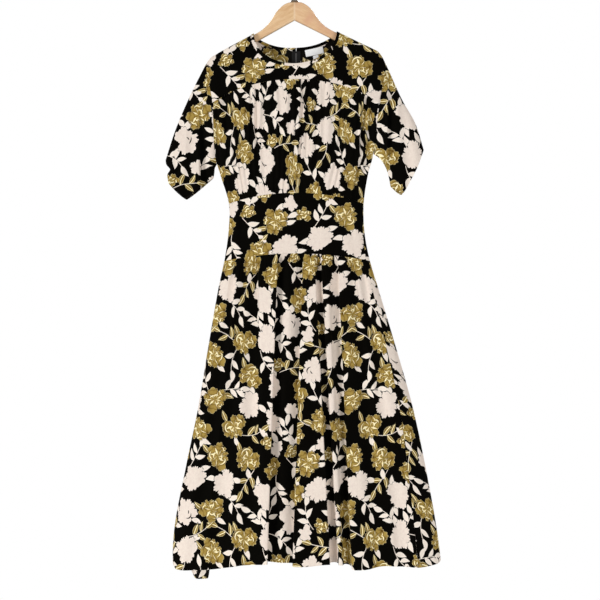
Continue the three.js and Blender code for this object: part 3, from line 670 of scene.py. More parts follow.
@dataclass
class Finish:
    """A material under construction: its tree, its surface shader and short ways to add nodes."""

    name: str
    material: Material = field(init=False)
    surface: Node = field(init=False)

    def __post_init__(self) -> None:
        """Makes an empty material with one surface shader."""
        self.material = bpy.data.materials.new(self.name)
        self.material.use_nodes = True
        self.surface = self.material.node_tree.nodes["Principled BSDF"]

    @property
    def tree(self) -> NodeTree:
        """The material's node tree."""
        return self.material.node_tree

    def node(self, kind: str, **settings: object) -> Node:
        """Adds a node and sets its plain properties.

        Args:
            kind: the node's type.
            settings: its properties by name.

        Returns:
            The node.
        """
        made = self.tree.nodes.new(kind)
        for key, value in settings.items():
            setattr(made, key, value)
        return made

    def shade(self, **values: object) -> None:
        """Feeds entries of the surface shader; underscores stand for the spaces in their names."""
        for key, value in values.items():
            feed(self.surface.inputs[key.replace("_", " ").title().replace("Ior", "IOR")], value)

    def parts(self, vector: NodeSocket) -> tuple[Wire, ...]:
        """The three numbers of a vector.

        Args:
            vector: the vector's socket.

        Returns:
            Their wires.
        """
        made = self.node("ShaderNodeSeparateXYZ")
        feed(made.inputs[0], vector)
        return tuple(Wire(self.tree, socket) for socket in made.outputs)

    def attribute(self, name: str) -> tuple[Wire, ...]:
        """The three numbers of a mesh attribute."""
        return self.parts(self.node("ShaderNodeAttribute", attribute_name=name).outputs["Vector"])

    def cloth_place(self) -> tuple[Wire, ...]:
        """The cloth's own UV map, in metres along and across the weave."""
        return self.parts(self.node("ShaderNodeUVMap", uv_map="cloth").outputs["UV"])[:2]

    def mapped(self, place: NodeSocket, entry: str, value: Sequence[float]) -> NodeSocket:
        """Changes coordinates.

        Args:
            place: the coordinates.
            entry: "Scale" to stretch them or "Rotation" to turn them.
            value: by how much on each axis.

        Returns:
            The changed coordinates.
        """
        made = self.node("ShaderNodeMapping")
        feed(made.inputs["Vector"], place)
        feed(made.inputs[entry], value)
        return made.outputs["Vector"]

    def body_place(self, stretch: Sequence[float] = (1, 1, 1)) -> NodeSocket:
        """Object coordinates, stretched."""
        return self.mapped(self.node("ShaderNodeTexCoord").outputs["Object"], "Scale", stretch)

    def noise(self, place: NodeSocket, scale: float, detail: float = 2.0) -> Wire:
        """Smooth noise from 0 to 1 at a place.

        Args:
            place: coordinates to read it at.
            scale: how many features to a metre.
            detail: how many finer layers are added.

        Returns:
            The noise.
        """
        made = self.node("ShaderNodeTexNoise")
        for entry, value in (("Scale", scale), ("Detail", detail), ("Vector", place)):
            feed(made.inputs[entry], value)
        return Wire(self.tree, made.outputs["Fac"])

    def mixed(self, share: Number, first: object, second: object) -> NodeSocket:
        """Mixes two colours.

        Args:
            share: how much of the second there is.
            first: a colour or a colour socket.
            second: a colour or a colour socket.

        Returns:
            The mixed colour's socket.
        """
        made = self.node("ShaderNodeMix", data_type="RGBA")
        for entry, value in ((0, share), (6, first), (7, second)):
            feed(made.inputs[entry], value)
        return made.outputs[2]

    def bumped(self, height: Wire, rise: float, before: Optional[NodeSocket] = None) -> NodeSocket:
        """Turns a height from 0 to 1 into a bumped normal.

        Args:
            height: the height's share.
            rise: how far the full height rises, in metres.
            before: a normal that it is added to.

        Returns:
            The normal's socket.
        """
        made = self.node("ShaderNodeBump")
        for entry, value in (("Strength", 1.0), ("Distance", rise), ("Height", height)):
            feed(made.inputs[entry], value)
        if before is not None:
            feed(made.inputs["Normal"], before)
        return made.outputs["Normal"]


@dataclass(frozen=True)
class PrintedCloth:
    """Fine woven cloth with the flower print, for the right side or the paler wrong side."""

    design: FlowerPrint
    name: str = "printed_cloth"
    faded: float = 0.0  # how far the print has gone through to grey on the wrong side
    thread: float = 0.00042  # pitch of the weave, in metres
    rim: float = 1.6  # width of the paler rim round flowers and leaves, in mm
    large: float = 33.0  # mean half size of a large flower, in mm
    less: float = 12.5  # how much less a small flower has
    through: Colour = linear(120, 112, 104)

    def colour(self, finish: Finish) -> NodeSocket:
        """Paints ground, stems, leaves, halo and flowers in turn.

        Args:
            finish: the material under construction.

        Returns:
            The colour's socket.
        """
        design = self.design
        x, y, bow = finish.attribute("stem")
        stem = under(size_of(y - bow * (1 - x * x)), design.stem_half) * under(size_of(x), 1.0)
        colour = finish.mixed(stem, Palette.BLACK, Palette.CREAM)
        x, y, style = finish.attribute("leaf")
        tint = over(style, 1.0)
        seed = style - tint
        rib = under(design.leaf_middle(x, y, seed), 0.07) * under(x, 0.75)
        gap = design.leaf_gap(x, y, seed)
        rim = most(1 + gap * design.leaf_length / (2 * self.rim), 0.0)
        golden = finish.mixed(0.45 + 0.4 * over(y, 0.0), Palette.DEEP_MUSTARD, Palette.MUSTARD)
        golden = finish.mixed(most(rib, 0.6 * rim), golden, Palette.PALE_LINE)
        leaf = finish.mixed(tint, finish.mixed(0.6 * rim, Palette.CREAM, Palette.WHITE_CREAM), golden)
        colour = finish.mixed(under(gap, 0.0), colour, leaf)
        x, y, style = finish.attribute("bloom")
        kind = style.made("FLOOR", style)
        seed = style - kind
        size = self.large - self.less * over(kind, 2.5)
        gap = (length_of(x, y) - design.outline(turn_of(y, x), seed, kind)) * size
        lines, light = design.petals(x, y, seed, kind, size)
        rim = most(1 + gap / self.rim, 0.0)
        golden = finish.mixed(light, Palette.DEEP_MUSTARD, Palette.MUSTARD)
        golden = finish.mixed(0.5 * rim, golden, Palette.PALE_LINE)
        golden = finish.mixed(lines * under(gap, -0.8), golden, Palette.PALE_LINE)
        pale = finish.mixed(0.5 * light, Palette.ROSE_CREAM, Palette.CREAM)
        pale = finish.mixed(0.6 * rim, pale, Palette.WHITE_CREAM)
        marked = design.marks(x, y, seed) * over(kind, 0.5) * under(kind, 1.5)
        pale = finish.mixed(marked, pale, Palette.BLACK)
        flower = finish.mixed(over(kind, 1.5) * under(kind, 3.5), pale, golden)
        colour = finish.mixed(under(gap, design.halo), colour, Palette.BLACK)
        return finish.mixed(under(gap, 0.0), colour, flower)

    def make(self) -> Material:
        """Makes the material: print, a soft unevenness of dye, the weave's threads and a slight crumple."""
        finish = Finish(self.name)
        colour = self.colour(finish)
        if self.faded:
            colour = finish.mixed(self.faded, colour, self.through)
        place = finish.body_place()
        uneven = finish.noise(place, 9.0, 3.0)
        slub = finish.noise(place, 420.0, 1.0)
        dyed = finish.node("ShaderNodeHueSaturation")
        feed(dyed.inputs["Color"], colour)
        feed(dyed.inputs["Value"], 0.88 + 0.10 * uneven + 0.14 * slub)
        u, v = finish.cloth_place()
        pitch = 2 * math.pi / self.thread
        weave = 0.5 + 0.25 * (sine(u * pitch) + sine(v * pitch))
        threads = finish.bumped(weave * (0.6 + 0.8 * slub), 0.00003)
        finish.shade(
            base_color=dyed.outputs["Color"],
            normal=finish.bumped(finish.noise(place, 26.0, 3.0), 0.0016, threads),
            roughness=0.66 + 0.16 * slub,
            sheen_weight=0.01,
            sheen_roughness=0.4,
            specular_ior_level=0.03,
        )
        return finish.material


@dataclass(frozen=True)
class PaleWood:
    """Lacquered pale wood with a long fine grain."""

    name: str = "pale_wood"
    lean: float = 0.5  # how the arm's slope turns the grain, as a rise for each unit along
    glue_half: float = 0.0022  # half width of the paler band at the joint, in metres
    left_blush: float = 0.5  # how pink each arm's wood is
    right_blush: float = 2.4
    grain: tuple[float, float, float] = (0.9, 8.0, 9.0)  # how fine the grain is on each axis
    dark_end: float = 0.34  # where in the grain each colour is reached
    light_end: float = 0.66

    def make(self, side: int) -> Material:
        """Makes the material for one arm.

        Args:
            side: -1 for the left arm, 1 for the right.

        Returns:
            The material.
        """
        finish = Finish(f"{self.name}_{hand(side)}")
        source = finish.node("ShaderNodeTexCoord").outputs["Object"]
        turned = finish.mapped(source, "Rotation", (0, -math.atan(side * self.lean), 0))
        stretched = finish.mapped(turned, "Scale", self.grain)
        fine = finish.noise(stretched, 70.0, 3.0)
        grain = 0.62 * finish.noise(stretched, 9.0, 4.0) + 0.38 * fine
        ramp = finish.node("ShaderNodeValToRGB")
        ends = ((self.dark_end, Palette.WOOD_DARK), (self.light_end, Palette.WOOD_LIGHT))
        for end, (place, colour) in zip(ramp.color_ramp.elements, ends):
            end.position, end.color = place, colour
        feed(ramp.inputs["Fac"], grain)
        blush = finish.noise(finish.body_place(), 26.0, 2.0)
        warmth = (self.left_blush if side < 0 else self.right_blush) * blush * blush
        warm = finish.mixed(warmth, ramp.outputs["Color"], Palette.WOOD_WARM)
        glue = under(size_of(finish.parts(source)[0]), self.glue_half)
        finish.shade(
            base_color=finish.mixed(0.7 * glue, warm, Palette.WOOD_GLUE),
            roughness=0.30 + 0.16 * fine,
            normal=finish.bumped(grain, 0.00008),
            coat_weight=0.45,
            coat_roughness=0.16,
        )
        return finish.material


@dataclass(frozen=True)
class Metal:
    """Bare or plated metal with fine scratches."""

    name: str
    colour: Colour
    roughness: float
    brushed: tuple[float, float, float] = (400.0, 400.0, 60.0)

    def make(self) -> Material:
        """Makes the material: a steady metal whose gloss varies along fine scratches."""
        finish = Finish(self.name)
        scratches = finish.noise(finish.body_place(self.brushed), 6.0, 4.0)
        cloud = finish.noise(finish.body_place(), 60.0, 2.0)
        finish.shade(
            base_color=finish.mixed(cloud, self.colour, darker(self.colour)),
            roughness=self.roughness + 0.16 * scratches,
            normal=finish.bumped(scratches, 0.00001),
            metallic=1.0,
        )
        return finish.material


@dataclass(frozen=True)
class WovenTape:
    """Ribbed tape or a woven label: threads along and across in one colour."""

    name: str
    colour: Colour
    thread: float = 0.0006
    gloss: float = 0.75

    def make(self) -> Material:
        """Makes the material: crossed threads as bumps with a slight painted shade along them, and a soft
        unevenness.
        """
        finish = Finish(self.name)
        u, v = finish.cloth_place()
        pitch = 2 * math.pi / self.thread
        rib = 0.5 + 0.5 * sine(v * pitch + 0.8 * sine(u * pitch * 0.5))
        cloud = finish.noise(finish.body_place(), 90.0, 3.0)
        finish.shade(
            # the rib term is painted shade along the threads; the cloud term is an unevenness of tone
            base_color=finish.mixed(0.2 * rib + 0.2 * cloud, self.colour, darker(self.colour)),
            normal=finish.bumped(rib, 0.00006),
            roughness=self.gloss + 0.15 * cloud,
            specular_ior_level=0.3,
        )
        return finish.material


# ---------------- meshes


@dataclass
class Surface:
    """A grid of points with its place on the cloth: rows go down or along, columns across or round."""

    points: Array  # (rows, columns, 3), mm
    cloth: Array  # (rows, columns, 2), mm
    closed: bool = False  # the last column lies on the first
    flipped: bool = False  # the faces' corners run the other way round

    def corners(self) -> tuple[Array, Array]:
        """Vertex numbers of each face's corners, and the numbers of the same corners in the whole grid."""
        rows, columns = self.points.shape[:2]
        i, j = np.meshgrid(np.arange(rows - 1), np.arange(columns - 1), indexing="ij")
        order = ((0, 0), (1, 0), (1, 1), (0, 1))
        if self.flipped:
            order = order[::-1]
        whole = np.stack([(i + a) * columns + j + b for a, b in order], axis=-1).reshape(-1, 4)
        kept = columns - 1 if self.closed else columns
        faces = np.stack([(i + a) * kept + (j + b) % kept for a, b in order], axis=-1).reshape(-1, 4)
        return faces, whole

    def build(self, name: str, materials: Sequence[Material], thickness: float = 0.0) -> Object:
        """Makes the mesh with its UV map and its materials.

        Args:
            name: the piece's name.
            materials: of its outer face and, where it has a thickness, of its inner one.
            thickness: how thick a wall grows inwards, in mm; none for a shape that is closed already.

        Returns:
            The object, at the origin.
        """
        faces, whole = self.corners()
        points = self.points[:, :-1] if self.closed else self.points
        mesh = bpy.data.meshes.new(name)
        mesh.from_pydata((points.reshape(-1, 3) * METRES).tolist(), [], faces.tolist())
        mesh.polygons.foreach_set("use_smooth", np.ones(len(faces), bool))
        layer = mesh.uv_layers.new(name="cloth")
        layer.data.foreach_set("uv", (self.cloth.reshape(-1, 2)[whole] * METRES).astype(np.float32).ravel())
        for material in materials:
            mesh.materials.append(material)
        piece = placed(bpy.data.objects.new(name, mesh))
        if thickness:
            wall = piece.modifiers.new("wall", "SOLIDIFY")
            wall.thickness, wall.offset = thickness * METRES, -1.0
            wall.material_offset = 1
        mesh.update()
        return piece

    def area(self) -> float:
        """Area of the grid in square metres: half the length of each face's crossed diagonals."""
        p = self.points
        across = np.cross(p[1:, 1:] - p[:-1, :-1], p[1:, :-1] - p[:-1, 1:])
        return float(np.linalg.norm(across, axis=-1).sum() / 2) * METRES * METRES


def placed(made: Object) -> Object:
    """The same object, once it stands in the scene."""
    bpy.context.scene.collection.objects.link(made)
    return made


def run_along(points: Array) -> Array:
    """Length run along each row of points from its first column."""
    span = np.linalg.norm(np.diff(points, axis=1), axis=-1)
    return np.concatenate([np.zeros((len(points), 1)), np.cumsum(span, axis=1)], axis=1)


def cloth_lines(points: Array, origin: float) -> Array:
    """Cloth places of a grid: across is the length along each row from its origin, down is the height.

    Args:
        points: (rows, columns, 3), mm.
        origin: the column that is straight grain, as a place between columns.

    Returns:
        (rows, columns, 2), mm.
    """
    run = run_along(points[..., :2])
    low = min(int(origin), points.shape[1] - 2)
    start = lerp(run[:, low], run[:, low + 1], origin - low)
    return np.stack([run - start[:, None], -points[..., 2]], axis=-1)


@dataclass(frozen=True)
class Cut:
    """How a piece of cloth is cut and held."""

    shift: tuple[float, float]  # how far the print is moved on it, in mm
    flat: tuple[float, float]  # width and length of the rectangle it is cut from, in metres
    area: float  # flat area of the cut, in square metres
    held: str
    rests_on: tuple[str, ...] = ()
    thickness: float = CLOTH


@dataclass(frozen=True)
class Tailor:
    """Turns surfaces into finished cloth pieces: mesh, print, its two sides' materials, thickness and body.
    """

    design: FlowerPrint
    right_side: Material
    wrong_side: Material

    def sew(self, name: str, surface: Surface, cut: Cut) -> None:
        """Makes a printed cloth piece that stands for the frame's node of the same name.

        Args:
            name: the node's name; the piece adds "cloth" to it.
            surface: its outer surface.
            cut: how it is cut and held.
        """
        piece = surface.build(f"{name}_cloth", (self.right_side, self.wrong_side), cut.thickness)
        _, whole = surface.corners()
        places = (surface.cloth.reshape(-1, 2) + np.array(cut.shift))[whole]
        for key, values in self.design.lay(places.mean(axis=1), places).items():
            attribute = piece.data.attributes.new(key, "FLOAT_VECTOR", "CORNER")
            attribute.data.foreach_set("vector", values.astype(np.float32).ravel())
        settle_in(piece, "dress", name)
        LOG.info("%s: cloth %.4f m2 of a cut of %.4f m2", piece.name, surface.area(), cut.area)


def settle_in(piece: Object, body: str, node: str) -> None:
    """Hands a finished piece to the frame and reports it.

    Args:
        piece: the finished piece.
        body: the frame's body that it moves with.
        node: the frame's node that it stands for.
    """
    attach(piece, body)
    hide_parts(node)
    low, high = (np.array(list(corner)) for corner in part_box(node))
    points = np.empty((len(piece.data.vertices), 3), np.float32)
    piece.data.vertices.foreach_get("co", points.ravel())
    off = max(np.abs(points.min(axis=0) - low).max(), np.abs(points.max(axis=0) - high).max())
    LOG.info("%s: %d faces, %.1f mm off its node's box", piece.name, len(piece.data.polygons), off / METRES)


# ---------------- the form that the cloth lies on


Line = Callable[[Array], Array]  # gives a height at an angle, or a place across at a height
Edges = Callable[[Array], tuple[Array, Array]]  # gives a panel's two edge angles at a height


@dataclass(frozen=True)
class ArchedSeam:
    """A seam across the body: its height at the sides and how far it rises in the middle."""

    side_z: float
    rise: float
    power: float

    def z(self, angle: Array, shift: float = 0.0) -> Array:
        """Height at an angle, shifted: the rise falls away as a power of the sine's size."""
        return self.side_z + self.rise * (1 - np.abs(np.sin(angle)) ** self.power) + shift


@dataclass(frozen=True)
class Level:
    """The tube at one height: its edges, its half depth and its side seams in degrees."""

    z: float
    left: float
    right: float
    depth: float
    left_seam: float
    right_seam: float


@dataclass(frozen=True)
class BodyForm:
    """The flattened tube under all the cloth, with its neck, shoulders and armholes."""

    levels: tuple[Level, ...] = (
        Level(-120, -221, 229, 16, -90, 90),
        Level(-220, -221, 229, 20, -90, 90),
        Level(-315, -204, 211, 24, -90, 90),
        Level(-445, -198, 196, 28, -90, 90),
        Level(-490, -186, 184, 28, -91, 89),
        Level(-565, -164, 173, 25, -94, 84),
        Level(-635, -165, 175, 25, -96, 77),
        Level(-705, -175, 188, 30, -98, 71),
        Level(-775, -190, 209, 36, -99, 67),
        Level(-925, -216, 254, 45, -101, 63),
        Level(-1075, -241, 296, 53, -103, 60),
        Level(-1225, -272, 328, 60, -104, 57),
        Level(-1375, -300, 355, 66, -105, 55),
        Level(-1510, -306, 372, 70, -105, 54),
    )
    wall: float = 1.2  # thickness of the frame's cloth
    seam: float = 0.3  # gap at a seam
    side_gap: float = 0.6  # share of that gap on each side of a side seam
    lean: float = 0.035  # how far the hanger hangs askew, as a rise for each unit across
    side_power: float = 0.83  # how square the tube's section is
    open_power: float = 2.0  # the same beside an open armhole
    arm_top_z: float = -132.0  # the hanger's straight arms, and the cloth over them
    arm_start_x: float = 88.0
    arm_slope: float = 0.505
    clearance: float = 2.1
    round_over: float = 8.0  # how far below the ridge the cloth comes to its full depth
    tip_x: float = 204.0  # where the ridge starts to drop off
    tip_drop: float = 0.04
    neck_x: float = 2.0
    neck_half: float = 104.0
    neck_front_z: float = -219.0
    neck_back_z: float = -170.0
    neck_back_power: float = 2.4
    binding: float = 6.0
    panel_gap: float = 0.5  # from the binding's width to a panel's edge
    left_under_z: float = -466.0
    right_under_z: float = -440.0
    armhole_depth: float = 15.0
    armhole_power: float = 0.6
    armhole_gap: float = 0.6
    yoke_seam: ArchedSeam = ArchedSeam(-315, 57, 2.1)
    waist_seam: ArchedSeam = ArchedSeam(-565, 25, 2.0)
    hip_seam: ArchedSeam = ArchedSeam(-708, 18, 2.0)
    hem_z: float = -1450.0
    back_top_x: float = 4.0  # the centre-back seam at its top and at the hem
    back_hem_x: float = 60.0
    back_straight_z: float = -250.0
    zip_gap: float = 0.6
    rounds: int = 8  # how often angles and heights are worked out in turn

    @property
    def left(self) -> float:
        """Left edge at the shoulders."""
        return self.levels[0].left

    @property
    def right(self) -> float:
        """Right edge at the shoulders."""
        return self.levels[0].right

    def read(self, z: Array, what: str) -> Array:
        """Value of one of the levels' fields at a height."""
        values = np.array([getattr(level, what) for level in self.levels])
        return along([level.z for level in self.levels], values, np.asarray(z, float))

    def middle(self, z: Array) -> Array:
        """Middle of the tube at a height."""
        return (self.read(z, "left") + self.read(z, "right")) / 2

    def half(self, z: Array) -> Array:
        """Half width of the tube at a height."""
        return (self.read(z, "right") - self.read(z, "left")) / 2

    def across(self, angle: Array, z: Array) -> Array:
        """Place across at an angle and a height."""
        return self.middle(z) + self.half(z) * np.sin(angle)

    def side_seam(self, z: Array, side: int) -> Array:
        """Angle of a side seam at a height, in radians."""
        return np.radians(self.read(z, "left_seam" if side < 0 else "right_seam"))

    def shoulder(self, x: Array) -> Array:
        """Height of the ridge over the hanger's arms: a straight slope that drops off at the tip, leaning.

        Args:
            x: places across.

        Returns:
            The heights.
        """
        out = np.abs(x)
        straight = self.arm_top_z + self.clearance - self.arm_slope * (out - self.arm_start_x)
        return straight - self.tip_drop * np.maximum(out - self.tip_x, 0) ** 2 + self.lean * x

    def neck(self, x: Array, offset: float, back: bool) -> Array:
        """Height of the neck edge, moved away from the neck by an offset.

        The front edge is half an ellipse under the line between the neck's corners, the back one a
        flatter curve, 1 less a power of the distance from the middle.

        Args:
            x: places across.
            offset: distance from the edge, in mm.
            back: whether it is the back edge.

        Returns:
            The heights.
        """
        half = self.neck_half + offset
        corner = self.neck_x + np.where(x < self.neck_x, -half, half)
        end = self.shoulder(corner) - self.lean * corner
        across = clamp(np.abs(x - self.neck_x) / half)
        if back:
            drop = (end - self.neck_back_z + offset) * (1 - across**self.neck_back_power)
        else:
            drop = (end - self.neck_front_z + offset) * np.sqrt(1 - across * across)
        return end - drop + self.lean * x

    def top_edge(self, x: Array, back: bool) -> Array:
        """Height of a panel's top edge: the neck edge between the shoulders, the shoulder line beyond.

        Args:
            x: places across.
            back: whether it is on the back.

        Returns:
            The heights.
        """
        offset = self.binding + self.panel_gap
        inside = np.abs(x - self.neck_x) < self.neck_half + offset
        return np.where(inside, self.neck(x, offset, back), self.shoulder(x))

    def edge_top_z(self, side: Array) -> Array:
        """Height of the shoulder line at the body's edge on a side."""
        return np.where(np.asarray(side) < 0, self.shoulder(self.left), self.shoulder(self.right))

    def opening(self, side: Array, z: Array) -> Array:
        """How open the armhole is: a sine, raised to a power, from the shoulder to the underarm.

        Args:
            side: less than 0 on the left, more on the right.
            z: heights.

        Returns:
            From 0, closed, to 1.
        """
        top = self.edge_top_z(side)
        low = np.where(np.asarray(side) < 0, self.left_under_z, self.right_under_z)
        return np.sin(np.pi * share_down(z, top, low)) ** self.armhole_power

    def point(self, angle: Array, z: Array, fold: Array = 0.0, tuck: Array = 0.0) -> Array:
        """Outer point of the tube.

        Across, it is the middle plus the half width times the angle's sine. The depth is the half depth
        times a power of the cosine's size, more gently beside an open armhole, and rounds off to nothing
        over the shoulder line as a quarter circle does.

        Args:
            angle: angle round the tube, in radians.
            z: height.
            fold: how far a fold moves it inwards.
            tuck: how far a fold moves it sideways.

        Returns:
            The points, last axis x, y, z.
        """
        cosine = np.cos(angle)
        x = self.across(angle, z)
        opening = self.opening(np.sin(angle), z)
        edge = self.armhole_depth * opening
        power = lerp(self.side_power, self.open_power, opening)
        below = clamp((self.shoulder(x) - z) / self.round_over)
        rounding = np.sqrt(1 - (1 - below) ** 2)
        deep = self.seam / 2 + rounding * (edge + (self.read(z, "depth") - edge) * np.abs(cosine) ** power)
        face = np.where(cosine > -1e-9, -1.0, 1.0)
        y = face * np.maximum(deep - fold, self.seam / 2)
        return joined(x + tuck, y, z)

    def angle_at(self, x: Array, z: Array, back: bool = False) -> Array:
        """Angle of the front or the back of the tube at a place."""
        angle = np.arcsin(clamp((x - self.middle(z)) / self.half(z), -1.0, 1.0))
        return np.pi - angle if back else angle

    def back_line(self, z: Array) -> Array:
        """Where the centre-back seam runs: straight down at the top, then towards the right."""
        share = (self.back_straight_z - z) / (self.back_straight_z - self.hem_z)
        return lerp(self.back_top_x, self.back_hem_x, clamp(share, 0, 1.1))

    def step(self, angle: Array, z: Array, distance: float) -> Array:
        """Angle moved along the tube by a distance.

        Args:
            angle: angles round the tube.
            z: heights.
            distance: how far, in mm.

        Returns:
            The moved angles: the distance is divided by the tube's length for each radian.
        """
        cosine = np.maximum(np.abs(np.cos(angle)), 0.02)
        power = self.side_power
        deep = self.read(z, "depth") * power * cosine ** (power - 1) * np.abs(np.sin(angle))
        return angle + distance / np.hypot(self.half(z) * cosine, deep)

    def front_edges(self, z: Array) -> tuple[Array, Array]:
        """Edge angles of a front panel at a height, a share of the gap inside its side seams."""
        gap = self.seam * self.side_gap
        return self.step(self.side_seam(z, -1), z, gap), self.step(self.side_seam(z, 1), z, -gap)

    def back_edges(self, side: int) -> Edges:
        """Edge angles of a back panel: its side seam and the centre-back seam, in rising order."""

        def edges(z: Array) -> tuple[Array, Array]:
            """Both edges at a height.

            Args:
                z: heights.

            Returns:
                Two angles for each height, in rising order.
            """
            middle = self.angle_at(self.back_line(z) + side * self.zip_gap / 2, z, True)
            seam = self.side_seam(z, side) + (0 if side > 0 else 2 * np.pi)
            outer = self.step(seam, z, side * self.seam * self.side_gap)
            return (outer, middle) if side > 0 else (middle, outer)

        return edges

    def cells(
        self,
        down: Array,
        across: Array,
        top: Line,
        bottom: Line,
        edges: Edges,
    ) -> tuple[Array, Array]:
        """Angles and heights of a panel between two seams.

        An angle depends on its height through the side seams, and a height on its angle through the
        arched seams, so both are worked out again a few times until they agree.

        Args:
            down: shares from the top seam to the bottom seam, (rows, 1).
            across: shares from one side edge to the other, (rows or 1, columns).
            top: height of the top seam at an angle.
            bottom: height of the bottom seam at an angle.
            edges: the two edge angles at a height.

        Returns:
            The angles and the heights, (rows, columns) each.
        """
        start = np.broadcast_to(top(np.zeros(1)), np.broadcast_shapes(down.shape, across.shape))
        first, last = edges(start)
        angle = lerp(first, last, across)
        for _ in range(self.rounds):
            z = lerp(top(angle), bottom(angle), down)
            first, last = edges(z)
            angle = lerp(first, last, across)
        return angle, lerp(top(angle), bottom(angle), down)


@dataclass(frozen=True)
class Fold:
    """A fold that runs down the cloth: a valley whose two walls may differ, and which may tuck under.

    Each pair gives the value at the top and at the bottom. A tuck below 0 hides the valley under its left
    side, and a spread widens its floor under both.
    """

    x: tuple[float, float]
    left: tuple[float, float]
    right: tuple[float, float]
    depth: tuple[float, float]
    tuck: tuple[float, float] = (0.0, 0.0)
    spread: float = 0.0
    start: float = -1.0  # share of the way down where it starts
    grown_in: float = 0.12  # share in which it comes to its full depth
    sharpness: float = 2.4

    def shape(self, x: Array, down: Array) -> tuple[Array, Array]:
        """Depth and sideways tuck: a bell curve, flat at its bottom, with its own width on each side.

        Args:
            x: places across.
            down: share of the way from the top to the bottom.

        Returns:
            How far the cloth goes in, and how far it goes to the right.
        """
        offset = x - lerp(*self.x, down)
        width = np.where(offset < 0, lerp(*self.left, down), lerp(*self.right, down))
        held = bell(offset / width, self.sharpness) * smooth((down - self.start) / self.grown_in)
        return lerp(*self.depth, down) * held, (lerp(*self.tuck, down) + self.spread * offset) * held


def folded(folds: Sequence[Fold], x: Array, down: Array) -> tuple[Array, Array]:
    """Joins folds: where they meet, the depth is the cube root of their cubes' sum, so they don't add up.

    Args:
        folds: the folds.
        x: places across.
        down: share of the way from the top to the bottom.

    Returns:
        How far the cloth goes in, and how far it goes to the right.
    """
    shapes = [fold.shape(x, down) for fold in folds]
    return sum(deep**3 for deep, _ in shapes) ** (1 / 3), sum(tuck for _, tuck in shapes)


def upright(z: Array, x: float = 0.0) -> Array:
    """A straight grain's place across, the same at every height."""
    return 0 * z + x


@dataclass(frozen=True)
class Panel:
    """A panel between two seams whose columns are spaced evenly along the folded cloth."""

    form: BodyForm
    top: Line
    bottom: Line
    edges: Edges
    surface: Callable[[Array, Array], Array]
    rows: int
    columns: int
    length: float
    grain_x: Line = upright  # where the straight grain lies at a height
    ease: float = 1.0  # cloth taken up by gathers too fine to model
    pressed: float = 0.07  # share of the length beside each seam where the folds are pressed flat
    probes: int = 1600

    def make(self) -> Surface:
        """Makes the panel's surface.

        Each row is first walked in many small steps to learn how far round its folds the cloth has run.
        The columns are then set at even shares of that run, as the cloth's own threads are. Beside a seam
        the folds are pressed flat, so the rows there keep the shares of the nearest row that is free.

        Returns:
            The surface with its cloth places.
        """
        down = steps(self.rows, self.length)[:, None]
        probe = np.linspace(0, 1, self.probes)[None]
        points = self.surface(*self.form.cells(down, probe, self.top, self.bottom, self.edges))
        run = run_along(points)
        free = np.searchsorted(down[:, 0], clamp(down[:, 0], self.pressed, 1 - self.pressed))
        run = run[free]
        row = np.arange(len(down))[:, None] * 2.0
        wanted = steps(self.columns, float(run[-1, -1]))
        share = run / run[:, -1:] + row
        across = np.interp((wanted + row).ravel(), share.ravel(), np.broadcast_to(probe, share.shape).ravel())
        angle, z = self.form.cells(down, across.reshape(len(down), -1), self.top, self.bottom, self.edges)
        points = self.surface(angle, z)
        lines = zip(self.grain_x(z.mean(axis=1)), points[..., 0])
        grain = np.array([np.interp(middle, *self.rising(x, wanted)) for middle, x in lines])[free]
        run_across = (wanted - grain[:, None]) * run[:, -1:] * self.ease
        return Surface(points, np.stack([run_across, -z], axis=-1))

    @staticmethod
    def rising(x: Array, shares: Array) -> tuple[Array, Array]:
        """A row's places across in rising order, and their shares, for looking a place up."""
        if x[0] > x[-1]:
            x, shares = x[::-1], shares[::-1]
        return np.maximum.accumulate(x), shares


# ---------------- bodice and midriff


